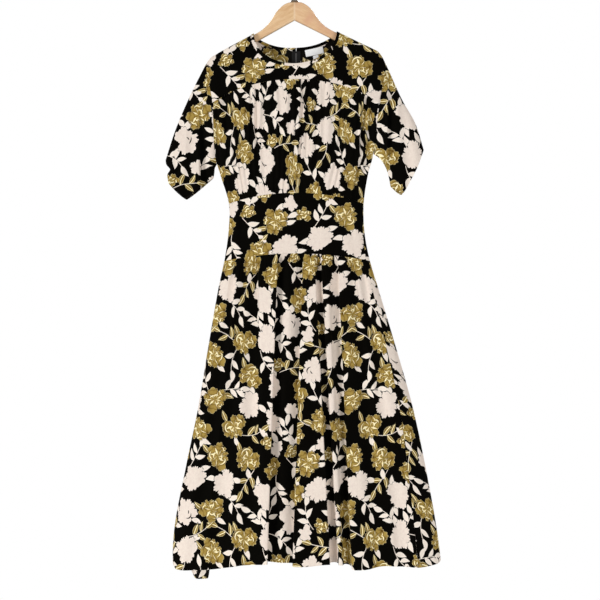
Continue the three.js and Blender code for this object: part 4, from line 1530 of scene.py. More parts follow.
@dataclass(frozen=True)
class Bodice:
    """Yoke, gathered front bodice and the two halves of the back bodice."""

    form: BodyForm
    tailor: Tailor
    gather_count: int = 25
    gather_depth: float = 7.6
    pucker_count: int = 52
    pucker_depth: float = 2.3
    slow_count: float = 4.3  # broad waves under the gathers
    slow_depth: float = 2.6
    drag_depth: float = 1.1  # slack of the yoke
    back_depth: float = 2.2  # waves of the back
    ease: float = 1.28
    lip_rows: tuple[float, ...] = (0, 0.15, 0.4, 0.8, 1.4, 2.2, 3.4, 5, 6.5, 8.0)  # rows below a top edge
    apart: float = 0.8  # least distance between columns at an edge
    folds: tuple[Fold, ...] = (
        Fold((-176, -150), (5, 8), (8, 12), (6, 2)),
        Fold((20, 16), (3, 6), (7, 10), (6, 4), (-2, 0)),
        Fold((34, 28), (4, 6), (6, 10), (5, 3)),
        Fold((180, 150), (4, 8), (7, 10), (8, 3), (-3, 0)),
        Fold((194, 168), (4, 8), (6, 9), (6, 2)),
    )

    def waist(self, angle: Array) -> Array:
        """Height of the panels' lower edge at the waist seam."""
        return self.form.waist_seam.z(angle, self.form.seam / 2)

    def top_row(self, low_x: float, high_x: float, back: bool) -> tuple[Array, Array]:
        """Places across a top edge, close together at the neck's corners.

        Args:
            low_x: the edge's left end.
            high_x: its right end.
            back: whether it is on the back.

        Returns:
            The angles and the heights of the top edge.
        """
        form = self.form
        half = form.neck_half + form.binding + form.panel_gap
        neck = form.neck_x + half * np.sin(np.radians(np.linspace(-90, 90, 101)))
        left, right = np.linspace(form.left, neck[0], 34), np.linspace(form.right, neck[-1], 34)
        x = np.concatenate([left[:-1], neck, right[:-1][::-1]])
        x = np.concatenate([[low_x], x[(x > low_x + self.apart) & (x < high_x - self.apart)], [high_x]])
        z = form.top_edge(x, back)
        return form.angle_at(x, z, back), z

    def hanging(
        self, top: tuple[Array, Array], bottom: Line, rows: int, angle_of: Callable[[Array], Array]
    ) -> tuple[Array, Array]:
        """Cells from a top edge down to a seam, fine where the cloth turns over the shoulder.

        Args:
            top: angles and heights of the top edge.
            bottom: height of the seam at an angle.
            rows: number of rows below the shoulder's turn.
            angle_of: the columns' angles at their heights.

        Returns:
            The angles and the heights.
        """
        angle, top_z = top
        upper = top_z[None] - np.array(self.lip_rows)[:, None]
        share = steps(rows, 160.0)[1:, None]
        lower = np.broadcast_to(angle[None], (len(share), len(angle)))
        for _ in range(self.form.rounds):
            z = lerp(upper[-1:], bottom(lower), share)
            lower = angle_of(z)
        heights = np.concatenate([upper, z])
        return angle_of(heights), heights

    def yoke(self) -> None:
        """Builds the front yoke: columns at fixed angles from the neck and shoulders to the arched seam."""
        form = self.form
        angle, top = self.top_row(form.left, form.right, False)
        angle[0], angle[-1] = -np.pi / 2, np.pi / 2
        bottom = partial(form.yoke_seam.z, shift=form.seam / 2)
        angles, z = self.hanging((angle, top), bottom, 30, lambda at: np.broadcast_to(angle[None], at.shape))
        drag = self.drag_depth * np.sin(angles * 9 + z * 0.035) * smooth((form.shoulder(0) - z) / 60)
        points = form.point(angles, z, drag * np.maximum(np.cos(angles), 0))
        surface = Surface(points, cloth_lines(points, np.interp(0.0, angle, np.arange(len(angle)))))
        self.tailor.sew("front_yoke", surface, Cut((208.0, 92.0), (0.47, 0.17), 0.047, "hung", ARMS))

    def gathered(self, angle: Array, z: Array, down: Array) -> Array:
        """Form with gathers: waves whose spacing and height wander, and fine puckers along both seams.

        Args:
            angle: angles round the tube.
            z: heights.
            down: shares of the way from the yoke seam to the waist.

        Returns:
            The points.
        """
        form = self.form
        low, high = form.front_edges(z)
        share = (angle - low) / (high - low)
        s = lerp(share, ripple(np.pi * clamp(share)), 0.7)
        wander = s + 0.010 * np.sin(23 * s + 2.1 * down) + 0.006 * np.sin(51 * s - 3 * down)
        height = 0.62 + 0.38 * np.sin(31 * s + 1.7 + 1.3 * down) * np.cos(12 * s - 2.4 * down)
        wave = ripple(2 * np.pi * self.gather_count * wander) ** 0.8 * height
        grown = np.sin(np.pi * clamp(0.06 + 0.9 * down)) ** 0.5 * lerp(1.0, 0.62, smooth(down))
        slow = self.slow_depth * ripple(2 * np.pi * self.slow_count * s + 1.0) * np.sin(np.pi * down)
        pucker = ripple(2 * np.pi * self.pucker_count * wander) * self.pucker_depth
        near = np.exp(-down * 8) + 0.7 * np.exp(-(1 - down) * 14)
        deep, tuck = folded(self.folds, form.across(angle, z), down)
        free = off_seams(down, 40)
        calm = smooth((np.cos(angle) - 0.04) * 4)
        fold = wave * self.gather_depth * grown * off_seams(down, 14) + (pucker * near + deep) * free + slow
        return form.point(angle, z, fold * calm, tuck * free * calm)

    def front(self) -> None:
        """Builds the gathered front bodice between the yoke seam and the waist seam."""
        form = self.form
        top = partial(form.yoke_seam.z, shift=-form.seam / 2)

        def surface(angle: Array, z: Array) -> Array:
            """The gathered form at the panel's own share of the way down."""
            return self.gathered(angle, z, share_down(z, top(angle), self.waist(angle)))

        panel = Panel(form, top, self.waist, form.front_edges, surface, 62, 300, 270.0, ease=self.ease)
        self.tailor.sew("front_bodice", panel.make(), Cut((70.0, 158.0), (0.66, 0.31), 0.158, "gathered"))

    def back(self, side: int) -> None:
        """Builds half of the back bodice, from the neck and shoulder to the waist.

        Args:
            side: -1 for the left half, 1 for the right.
        """
        form = self.form
        middle = form.back_line(np.float64(form.neck_back_z)) + side * form.zip_gap / 2
        angle, top = self.top_row(*((form.left, middle) if side < 0 else (middle, form.right)), True)
        edges = form.back_edges(side)

        def span(z: Array) -> tuple[Array, Array]:
            """Outer and middle edge angles at a height."""
            return edges(z)[::side]

        outer, centre = span(top)
        shares = clamp((angle - outer) / (centre - outer))[None]
        angles, z = self.hanging((angle, top), self.waist, 74, lambda at: lerp(*span(at), shares))
        below = smooth((form.neck_back_z - 20 - z) / 90) * smooth((z + 560) / 60)
        fold = self.back_depth * ripple(angles * 14 + 0.006 * z) * below
        points = form.point(angles, z, fold * smooth(shares * 5) * smooth((1 - shares) * 8))[:, ::-1]
        surface = Surface(points, cloth_lines(points, 0 if side > 0 else points.shape[1] - 1))
        shift = (14.0 if side < 0 else 190.0, 40.0)
        cut = Cut(shift, (0.27, 0.44), 0.085, "hung", (f"hanger_arm_{hand(side)}",))
        self.tailor.sew(f"back_bodice_{hand(side)}", surface, cut)

    def build(self) -> None:
        """Builds all four panels."""
        self.yoke()
        self.front()
        self.back(-1)
        self.back(1)


@dataclass(frozen=True)
class Midriff:
    """The flat band between the waist seam and the hip seam, in one front and two back pieces."""

    form: BodyForm
    tailor: Tailor
    slack: float = 1.5

    def band(self, name: str, edges: Edges, grain: Line, columns: int, cut: Cut) -> None:
        """Builds one piece of the band.

        Args:
            name: the node that it stands for.
            edges: its edge angles at a height.
            grain: where its straight grain lies at a height.
            columns: number of columns.
            cut: how it is cut.
        """
        form = self.form
        top = partial(form.waist_seam.z, shift=-form.seam / 2)
        bottom = partial(form.hip_seam.z, shift=form.seam / 2)

        def surface(angle: Array, z: Array) -> Array:
            """Form with a faint slackness that dies away at both seams.

            Args:
                angle: angles round the tube.
                z: heights.

            Returns:
                The points.
            """
            down = share_down(z, top(angle), bottom(angle))
            slack = self.slack * ripple(17 * angle + 0.02 * z) * np.sin(np.pi * down) ** 1.5
            return form.point(angle, z, slack * smooth(np.abs(np.cos(angle)) * 2 - 0.3))

        panel = Panel(form, top, bottom, edges, surface, 36, columns, 145.0, grain)
        self.tailor.sew(name, panel.make(), cut)

    def build(self) -> None:
        """Builds the three pieces."""
        form = self.form
        for name, edges, grain, columns, shift, width, area in (
            ("front_midriff", form.front_edges, upright, 110, (150.0, 196.0), 0.39, 0.052),
            ("back_midriff_left", form.back_edges(-1), form.back_line, 60, (90.0, 20.0), 0.2, 0.026),
            ("back_midriff_right", form.back_edges(1), form.back_line, 60, (230.0, 110.0), 0.22, 0.027),
        ):
            self.band(name, edges, grain, columns, Cut(shift, (width, 0.16), area, "stretched"))


# ---------------- skirt


@dataclass(frozen=True)
class Skirt:
    """The gathered, flared skirt: one front and two backs."""

    form: BodyForm
    tailor: Tailor
    folds: tuple[Fold, ...] = (
        Fold((-146, -250), (7, 24), (4, 28), (8, 8), (3, 0)),
        Fold((-119, -196), (9, 30), (4, 34), (10, 11), (3, 0)),
        Fold((-96, -112), (15, 24), (4, 26), (13, 9), (5, 0)),
        Fold((-35, -56), (4, 6), (25, 29), (17, 27), (-6, -13)),
        Fold((15, -14), (24, 29), (4, 6), (17, 26), (6, 12)),
        Fold((57, 97), (4.5, 6), (4.5, 6), (13, 23), spread=2.0),
        Fold((100, 130), (13, 8), (4, 6), (13, 22), (5, 2), 1.2),
        Fold((141, 214), (10, 26), (4, 32), (9, 12), (3, 0)),
        Fold((168, 268), (8, 22), (5, 26), (5, 9)),
    )
    length: float = 755.0
    gather_count: int = 46
    gather_depth: float = 2.8
    slow_depth: float = 2.2
    back_gather_depth: float = 1.8
    back_wave: tuple[float, float] = (4.0, 15.0)  # depth of the back's waves at the top and at the hem
    back_pitch: tuple[float, float] = (60.0, 108.0)  # their pitch at both
    back_flat: float = 24.0  # how far beside the centre-back seam it is flat
    ease: float = 1.08
    dip_low_x: float = -284.0  # the hem's dip behind, on the left
    dip_high_x: float = -211.0
    dip_drop: float = 62.0

    def hem(self, angle: Array) -> Array:
        """Height of the hem: lower at both sides of the front, with a lopsided dip behind on the left.

        Args:
            angle: angles round the tube.

        Returns:
            The heights.
        """
        form = self.form
        behind, before = clamp(-np.cos(angle) * 4), clamp(np.cos(angle) * 4)
        x = form.across(angle, np.float64(form.hem_z))
        sides = 9 * smooth((x - 122) / 24) + 19 * smooth((-128 - x) / 80) + 2.4 * np.sin(x / 23 + 1)
        dip = self.dip_drop * smooth((x - self.dip_low_x) / 36) * smooth((self.dip_high_x - x) / 9)
        return form.hem_z - before * sides - behind * dip

    def top(self, angle: Array) -> Array:
        """Height of the skirt's top edge."""
        return self.form.hip_seam.z(angle, -self.form.seam / 2)

    def places(self, angle: Array, z: Array) -> tuple[Array, Array]:
        """Places across, and shares of the way down."""
        return self.form.across(angle, z), share_down(z, self.top(angle), self.hem(angle))

    def front_point(self, angle: Array, z: Array) -> Array:
        """Form with the charted folds and with fine gathers that fade below the seam.

        Args:
            angle: angles round the tube.
            z: heights.

        Returns:
            The points.
        """
        form = self.form
        x, down = self.places(angle, z)
        deep, tuck = folded(self.folds, x, down)
        share = (x - form.middle(z)) / form.half(z)
        phase = 2 * np.pi * self.gather_count * (share / 2 + 0.006 * np.sin(19 * share))
        fine = ripple(phase) * self.gather_depth * (0.6 + 0.4 * np.sin(7 * share + 1)) * below_seam(down)
        slow = self.slow_depth * ripple(0.045 * x + 5 * down) * smooth(down * 5)
        grown, calm = smooth(down / 0.025), smooth((np.cos(angle) - 0.25) * 2.6)
        return form.point(angle, z, (deep * grown + fine + slow) * calm, tuck * grown * calm)

    def back_point(self, angle: Array, z: Array) -> Array:
        """Form with even waves that grow towards the hem and are flat beside the centre-back seam.

        Args:
            angle: angles round the tube.
            z: heights.

        Returns:
            The points.
        """
        form = self.form
        x, down = self.places(angle, z)
        away = np.abs(x - form.back_line(z))
        free = away - self.back_flat
        phase = 2 * np.pi * free / lerp(*self.back_pitch, down)
        wave = lerp(*self.back_wave, down) * clamp(free / 24) * smooth(down / 0.06)
        wave = wave * ripple(phase + 0.4 * np.sin(3 * phase))
        fine = self.back_gather_depth * ripple(x * 0.52 + np.sin(x * 0.11)) * below_seam(down)
        calm = smooth((-np.cos(angle) - 0.25) * 2.6)
        return form.point(angle, z, (wave + fine * clamp((away - 14) / 8)) * calm)

    def build(self) -> None:
        """Builds the front and the two backs."""
        form = self.form
        panel = partial(Panel, form, self.top, self.hem, length=self.length, ease=self.ease)
        front = panel(form.front_edges, self.front_point, 104, 330, grain_x=partial(upright, x=-8.0))
        cut = Cut((32.0, 84.0), (0.86, 0.77), 0.51, "gathered", ("front_midriff_cloth",))
        self.tailor.sew("front_skirt", front.make(), cut)
        for side, shift in ((-1, (120.0, 10.0)), (1, (260.0, 150.0))):
            back = panel(form.back_edges(side), self.back_point, 100, 150, grain_x=form.back_line)
            cut = Cut(shift, (0.46, 0.8), 0.25, "gathered", (f"back_midriff_{hand(side)}_cloth",))
            self.tailor.sew(f"back_skirt_{hand(side)}", back.make(), cut)


# ---------------- sleeves


@dataclass(frozen=True)
class Sleeve:
    """An elbow-length sleeve: a flat tube from the armhole seam to an open cuff.

    Each section gives its share of the way to the cuff, four points (x, z) from the outer edge to the
    underarm edge, and its half depth.
    """

    form: BodyForm
    tailor: Tailor
    side: int
    sections: tuple[tuple[float, ...], ...]
    folds: tuple[Fold, ...]
    cut: Cut
    notch: float = 0.0  # how far the cuff's outer edge is drawn in at one height
    notch_z: float = 0.0
    notch_half: float = 9.0
    crispness: float = 0.65  # how straight the cuff's edge runs between its points
    blend_depth: float = 0.3  # share of the way in which the armhole's depth becomes the sleeve's
    blend_edge: float = 0.1  # the same for its outline
    slant: float = 0.7  # share of the cloth in the folds that the print follows
    least_depth: float = 1.2
    fold_top_z: float = -220.0
    fold_low_z: float = -540.0
    face_columns: int = 121

    def armhole(self, share: Array, face: Array) -> Array:
        """Point of the armhole seam, from the shoulder (0) to the underarm (1).

        Args:
            share: share of the way.
            face: -1 on the front, 1 on the back.

        Returns:
            The points, last axis x, y, z.
        """
        form = self.form
        low = form.left_under_z if self.side < 0 else form.right_under_z
        z = lerp(form.edge_top_z(np.float64(self.side)), low, share)
        edge = form.point(np.full(np.shape(z), self.side * np.pi / 2), z)
        return joined(edge[..., 0] + self.side * form.armhole_gap, face * np.abs(edge[..., 1]), z)

    def laid(self, t: Array, share: Array, axis: int) -> Array:
        """One coordinate of the sleeve's outline laid flat.

        The sections' four points are read with a smooth curve along the sleeve and then across it, more
        straight near the cuff.

        Args:
            t: share of the way to the cuff, (rows, 1).
            share: share of the way from the outer edge to the underarm edge, (rows, columns).
            axis: 0 for x, 1 for z.

        Returns:
            The coordinate, (rows, columns).
        """
        keys = [0.0] + [row[0] for row in self.sections]
        thirds = np.linspace(0, 1, 4)
        seam = self.armhole(thirds, -1.0)[:, 2 * axis]
        table = [[seam[k]] + [row[1 + axis + 2 * k] for row in self.sections] for k in range(4)]
        table = np.stack([np.broadcast_to(along(keys, np.array(row), t), share.shape) for row in table])
        low = np.minimum((share * 3).astype(int), 2)
        ends = [np.take_along_axis(table, (low + k)[None], axis=0)[0] for k in (0, 1)]
        return lerp(along(thirds, table, share), lerp(*ends, share * 3 - low), self.crispness * t)

    def point(self, t: Array, share: Array, face: Array) -> Array:
        """Point of the sleeve.

        The depth is a power of a sine across, less the folds' valleys on the front. Both it and the
        outline blend into the armhole near the seam.

        Args:
            t: share of the way to the cuff, (rows, 1).
            share: share of the way from the outer edge to the underarm edge, (1, columns).
            face: -1 on the front, 1 on the back, (1, columns).

        Returns:
            The points, (rows, columns, 3).
        """
        whole = np.broadcast_to(share, np.broadcast_shapes(t.shape, share.shape))
        x, z = (self.laid(t, whole, axis) for axis in (0, 1))
        keys = [0.0] + [row[0] for row in self.sections]
        depths = [self.form.armhole_depth] + [row[-1] for row in self.sections]
        swell = np.sin(np.pi * share) ** self.form.armhole_power
        deep = self.form.seam / 2 + along(keys, np.array(depths), t) * swell
        start = self.armhole(whole, face)
        fold, tuck = folded(self.folds, x, share_down(z, self.fold_top_z, self.fold_low_z))
        front = (face < 0) * swell
        near = clamp(1 - t / self.blend_depth) ** 2
        y = lerp(face * np.maximum(deep - fold * front, self.least_depth), start[..., 1], near)
        notch = self.notch * bell((z - self.notch_z) / self.notch_half) * smooth((t - 0.55) / 0.45)
        x = x - self.side * notch * clamp(1 - 2 * share) ** 2
        at_seam = clamp(1 - t / self.blend_edge)
        x = lerp(x + tuck * front * (1 - near), start[..., 0], at_seam)
        return joined(x, y, lerp(z, start[..., 2], at_seam))

    def build(self) -> None:
        """Builds the sleeve: a closed loop of columns, front first, from the armhole to the cuff."""
        count = self.face_columns
        share = lerp(ripple(np.linspace(0, np.pi, count)), np.linspace(0, 1, count), 0.6)
        face = np.repeat([-1.0, 1.0], (count, count - 1))
        points = self.point(steps(90, 190.0)[:, None], np.append(share, share[::-1][1:])[None], face[None])
        points[:, -1] = points[:, 0]
        extra = (run_along(points) - run_along(points[..., [0, 2]])) * -self.side
        extra = extra - extra[:, [count // 2]]
        extra[:, count:] = extra[:, [count - 1]]
        cloth = np.stack([points[..., 0] + self.slant * extra, -points[..., 2]], axis=-1)
        surface = Surface(points, cloth, closed=True, flipped=self.side > 0)
        self.tailor.sew(f"sleeve_{hand(self.side)}", surface, self.cut)


def both_sleeves(form: BodyForm, tailor: Tailor) -> tuple[Sleeve, Sleeve]:
    """The two sleeves with their own measures.

    Args:
        form: the form that they leave from.
        tailor: makes their cloth.

    Returns:
        The left and the right sleeve.
    """
    left_sections = (
        (0.34, -262, -297, -240, -372, -217, -436, -199, -476, 19),
        (0.67, -297, -379, -271, -448, -236, -497, -200, -487, 22),
        (1.0, -322, -455, -311, -517, -272, -552, -202, -500, 25),
    )
    left_folds = (
        Fold((-236, -226), (4, 5), (10, 22), (0, 19), (0, -6), start=0.3),
        Fold((-240, -262), (14, 14), (10, 14), (4, 6)),
        Fold((-262, -300), (10, 10), (12, 12), (3, 6)),
    )
    left_cut = Cut((300.0, 60.0), (0.44, 0.22), 0.056, "hung", ("front_yoke_cloth",))
    right_sections = (
        (0.34, 268, -303, 249, -362, 229, -420, 217, -456, 19),
        (0.67, 302, -364, 279, -422, 249, -470, 232, -484, 22),
        (1.0, 323, -430, 303, -480, 270, -540, 240, -521, 24),
    )
    right_folds = (
        Fold((238, 236), (4, 4), (14, 18), (11, 14), (-4, -5)),
        Fold((222, 216), (8, 8), (7, 7), (6, 6)),
        Fold((262, 288), (12, 12), (14, 14), (4, 7)),
    )
    right_cut = Cut((130.0, 60.0), (0.42, 0.21), 0.051, "hung", ("front_yoke_cloth",))
    left = Sleeve(form, tailor, -1, left_sections, left_folds, left_cut, notch=17.0, notch_z=-482.0)
    return left, Sleeve(form, tailor, 1, right_sections, right_folds, right_cut)


# ---------------- neck binding, zip and labels


@dataclass(frozen=True)
class NeckBinding:
    """A narrow strip that caps the neck edge, from one side of the zip round the front to the other."""

    form: BodyForm
    tailor: Tailor
    stand: float = 0.6  # how far it stands out from the cloth
    swell: float = 0.12  # how much further its middle stands out
    sunk: float = 0.42  # how much less its lower edge does
    overlap: float = 1.3  # how far it reaches beyond its width, over the panels' edges
    round_reach: float = 0.55
    front_columns: int = 121
    back_columns: int = 61
    bunching: float = 1.6  # how close together the back's columns are at the corners
    drawn: float = 12.0  # how far down the cloth its line lies
    cut: Cut = Cut((200.0, 456.0), (0.56, 0.016), 0.0085, "stretched", ("front_yoke_cloth",), 0.0)

    def normal(self, angle: Array, z: Array) -> Array:
        """Outward direction of the form: the cross product of small steps round it and up it.

        Args:
            angle: angles round the tube.
            z: heights.

        Returns:
            The directions, each of length 1.
        """
        turn, rise = 0.004, 0.3
        across = self.form.point(angle + turn, z) - self.form.point(angle - turn, z)
        upward = self.form.point(angle, z + rise) - self.form.point(angle, z - rise)
        found = np.cross(across, upward)
        return found / np.linalg.norm(found, axis=-1, keepdims=True)

    def columns(self) -> tuple[Array, Array]:
        """Angles round the neck from one side of the zip to the other, and whether each is on the back."""
        form, count = self.form, self.back_columns
        zip_x = form.back_line(np.float64(form.neck_back_z))
        ends = [math.asin((zip_x + s * form.zip_gap - form.neck_x) / form.neck_half) for s in (-1, 1)]
        share = np.linspace(0, 1, count) ** self.bunching
        left, right = lerp(-np.pi / 2, ends[0], share)[::-1], lerp(np.pi / 2, ends[1], share)
        front = np.radians(90 * np.sin(np.radians(np.linspace(-90, 90, self.front_columns))))
        back = np.repeat([True, False, True], (count - 1, self.front_columns, count - 1))
        return np.concatenate([left[:-1], front, right[1:]]), back

    def profile(self) -> list[tuple[float, float]]:
        """The strip's section: distances from the neck edge, and how far each lies outside the form."""
        form, wall = self.form, self.form.wall
        middle, radius = (self.stand - wall) / 2, (self.stand + wall) / 2
        turns = np.linspace(1.2, -1.2, 7)
        turned = [(-self.round_reach * math.cos(a), middle + radius * math.sin(a)) for a in turns]
        return [
            (form.binding + self.overlap, self.stand - self.sunk),
            (form.binding - 0.4, self.stand),
            (form.binding / 2, self.stand + self.swell),
            (0.9, self.stand),
            *turned,
            (0.9, -wall),
            (form.binding + self.overlap, -wall),
        ]

    def build(self) -> None:
        """Builds the strip: a rounded band of an outer face, a turned edge and an inner face round the neck.

        It is cut on the bias, so its cloth is turned by 45 degrees.
        """
        form = self.form
        angle, back = self.columns()
        profile = self.profile()
        rows = []
        for offset, lift in profile:
            x = form.neck_x + (form.neck_half + offset) * np.sin(angle)
            z = np.where(back, form.neck(x, offset, True), form.neck(x, offset, False))
            round_angle = np.where(back, form.angle_at(x, z, True), form.angle_at(x, z, False))
            point = form.point(round_angle, z) + self.normal(round_angle, z) * lift
            ridge = joined(x, 0 * x, form.shoulder(x) + lift)
            rows.append(np.where((np.abs(angle) > np.pi / 2 - 1e-6)[:, None], ridge, point))
        points = np.stack(rows)
        run = run_along(points[2:3])
        run = run - run[:, [len(angle) // 2]]
        down = np.array([offset for offset, _ in profile])[:, None] - self.drawn
        bias = joined(down - run, down + run) * math.sqrt(0.5)
        self.tailor.sew("neck_binding", Surface(points[::-1], bias[::-1]), self.cut)


@dataclass(frozen=True)
class BackZip:
    """A covered zip in the centre-back seam: tape and coil inside, and a slider with its pull outside."""

    form: BodyForm
    tape: Material
    coil: Material
    metal: Material
    top_z: float = -179.0
    bottom_z: float = -800.0
    tape_width: float = 22.0
    tape_thickness: float = 0.8
    rib: float = 0.12
    teeth_width: float = 4.4
    teeth_thickness: float = 1.2
    teeth_inset: float = 5.0
    tooth_pitch: float = 1.7
    tooth_rows: int = 6

    def strip(self, z: Array, offset: Array, behind: Array) -> Array:
        """Points inside the back along the centre-back seam, offset across and set behind the cloth.

        Args:
            z: heights.
            offset: how far they lie to the right of the seam.
            behind: how far inside the back's outer face they lie.

        Returns:
            The points.
        """
        form = self.form
        point = form.point(form.angle_at(form.back_line(z) + offset, z, True), z)
        return point - joined(0 * behind, behind, 0 * behind)

    def build_tape(self, behind: float) -> None:
        """Builds the ribbed tape at a depth behind the cloth.

        Args:
            behind: how far inside the back's outer face.
        """
        z = np.linspace(self.top_z, self.bottom_z, 240)[:, None]
        offset = np.linspace(self.tape_width / 2, -self.tape_width / 2, 15)[None]
        surface = Surface(self.strip(z, offset, behind + self.rib * ripple(offset * 3.1)), joined(offset, -z))
        piece = surface.build("zip_tape_weave", (self.tape, self.tape), self.tape_thickness - self.rib)
        settle_in(piece, "dress", "zip_tape")

    def build_coil(self, middle: float) -> None:
        """Builds the coil: a flat tube that swells and narrows with each tooth, and is closed at both ends.

        Args:
            middle: how far behind the cloth its middle lies.
        """
        high, low = self.top_z - self.teeth_inset, self.bottom_z + self.teeth_inset
        z = np.linspace(high, low, int((high - low) / self.tooth_pitch) * self.tooth_rows + 1)
        z = np.concatenate([[high], z, [low]])[:, None]
        around = np.linspace(0, 2 * np.pi, 13)[None]
        rib = ripple(2 * np.pi * (high - z) / self.tooth_pitch)
        rib[[0, -1]] = -1.6
        half = self.teeth_width / 2 * (0.86 + 0.14 * rib)
        deep = self.teeth_thickness / 2 * (0.62 + 0.38 * rib)
        points = self.strip(z, half * np.cos(around), middle - deep * np.sin(around))
        points[:, -1] = points[:, 0]
        surface = Surface(points, joined(around * 2, -z), closed=True, flipped=True)
        settle_in(surface.build("zip_coil", (self.coil,)), "dress", "zip_teeth")

    def build(self) -> None:
        """Builds the tape and the coil, and gives the frame's slider and pull their metal."""
        behind = self.form.wall + self.form.seam * 1.5
        self.build_tape(behind)
        self.build_coil(behind + self.tape_thickness + self.form.seam + self.teeth_thickness / 2)
        for node in ("zip_slider", "zip_pull"):
            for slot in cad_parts[node].material_slots:
                slot.material = self.metal
            LOG.info("%s: the frame's own part, dressed", node)


@dataclass(frozen=True)
class WovenLabel:
    """A small label sewn inside the back neck, turned to follow the neck edge."""

    form: BodyForm
    material: Material
    node: str
    x: float
    z: float
    width: float
    height: float
    thickness: float
    behind: float
    turn: float = 12.0  # degrees
    curl: float = 0.5
    weave: float = 0.04

    def build(self) -> None:
        """Builds the label: a sheet that curls a little away from the cloth at its corners."""
        turn = math.radians(self.turn)
        p = np.linspace(self.width / 2, -self.width / 2, 41)[None]
        q = np.linspace(self.height / 2, -self.height / 2, 21)[:, None]
        x = self.x + p * math.cos(turn) - q * math.sin(turn)
        z = self.z + p * math.sin(turn) + q * math.cos(turn)
        cloth_y = self.form.point(self.form.angle_at(x, z, True), z)[..., 1]
        corner = np.abs(2 * p / self.width) ** 4 * clamp(0.5 - q / self.height) ** 2
        y = cloth_y - self.behind - self.curl * corner - self.weave * np.sin(p * 1.1) * np.sin(q * 1.4)
        surface = Surface(joined(x, y, z), joined(p, q))
        piece = surface.build(f"{self.node}_weave", (self.material, self.material), self.thickness)
        settle_in(piece, "dress", self.node)


# ---------------- hanger


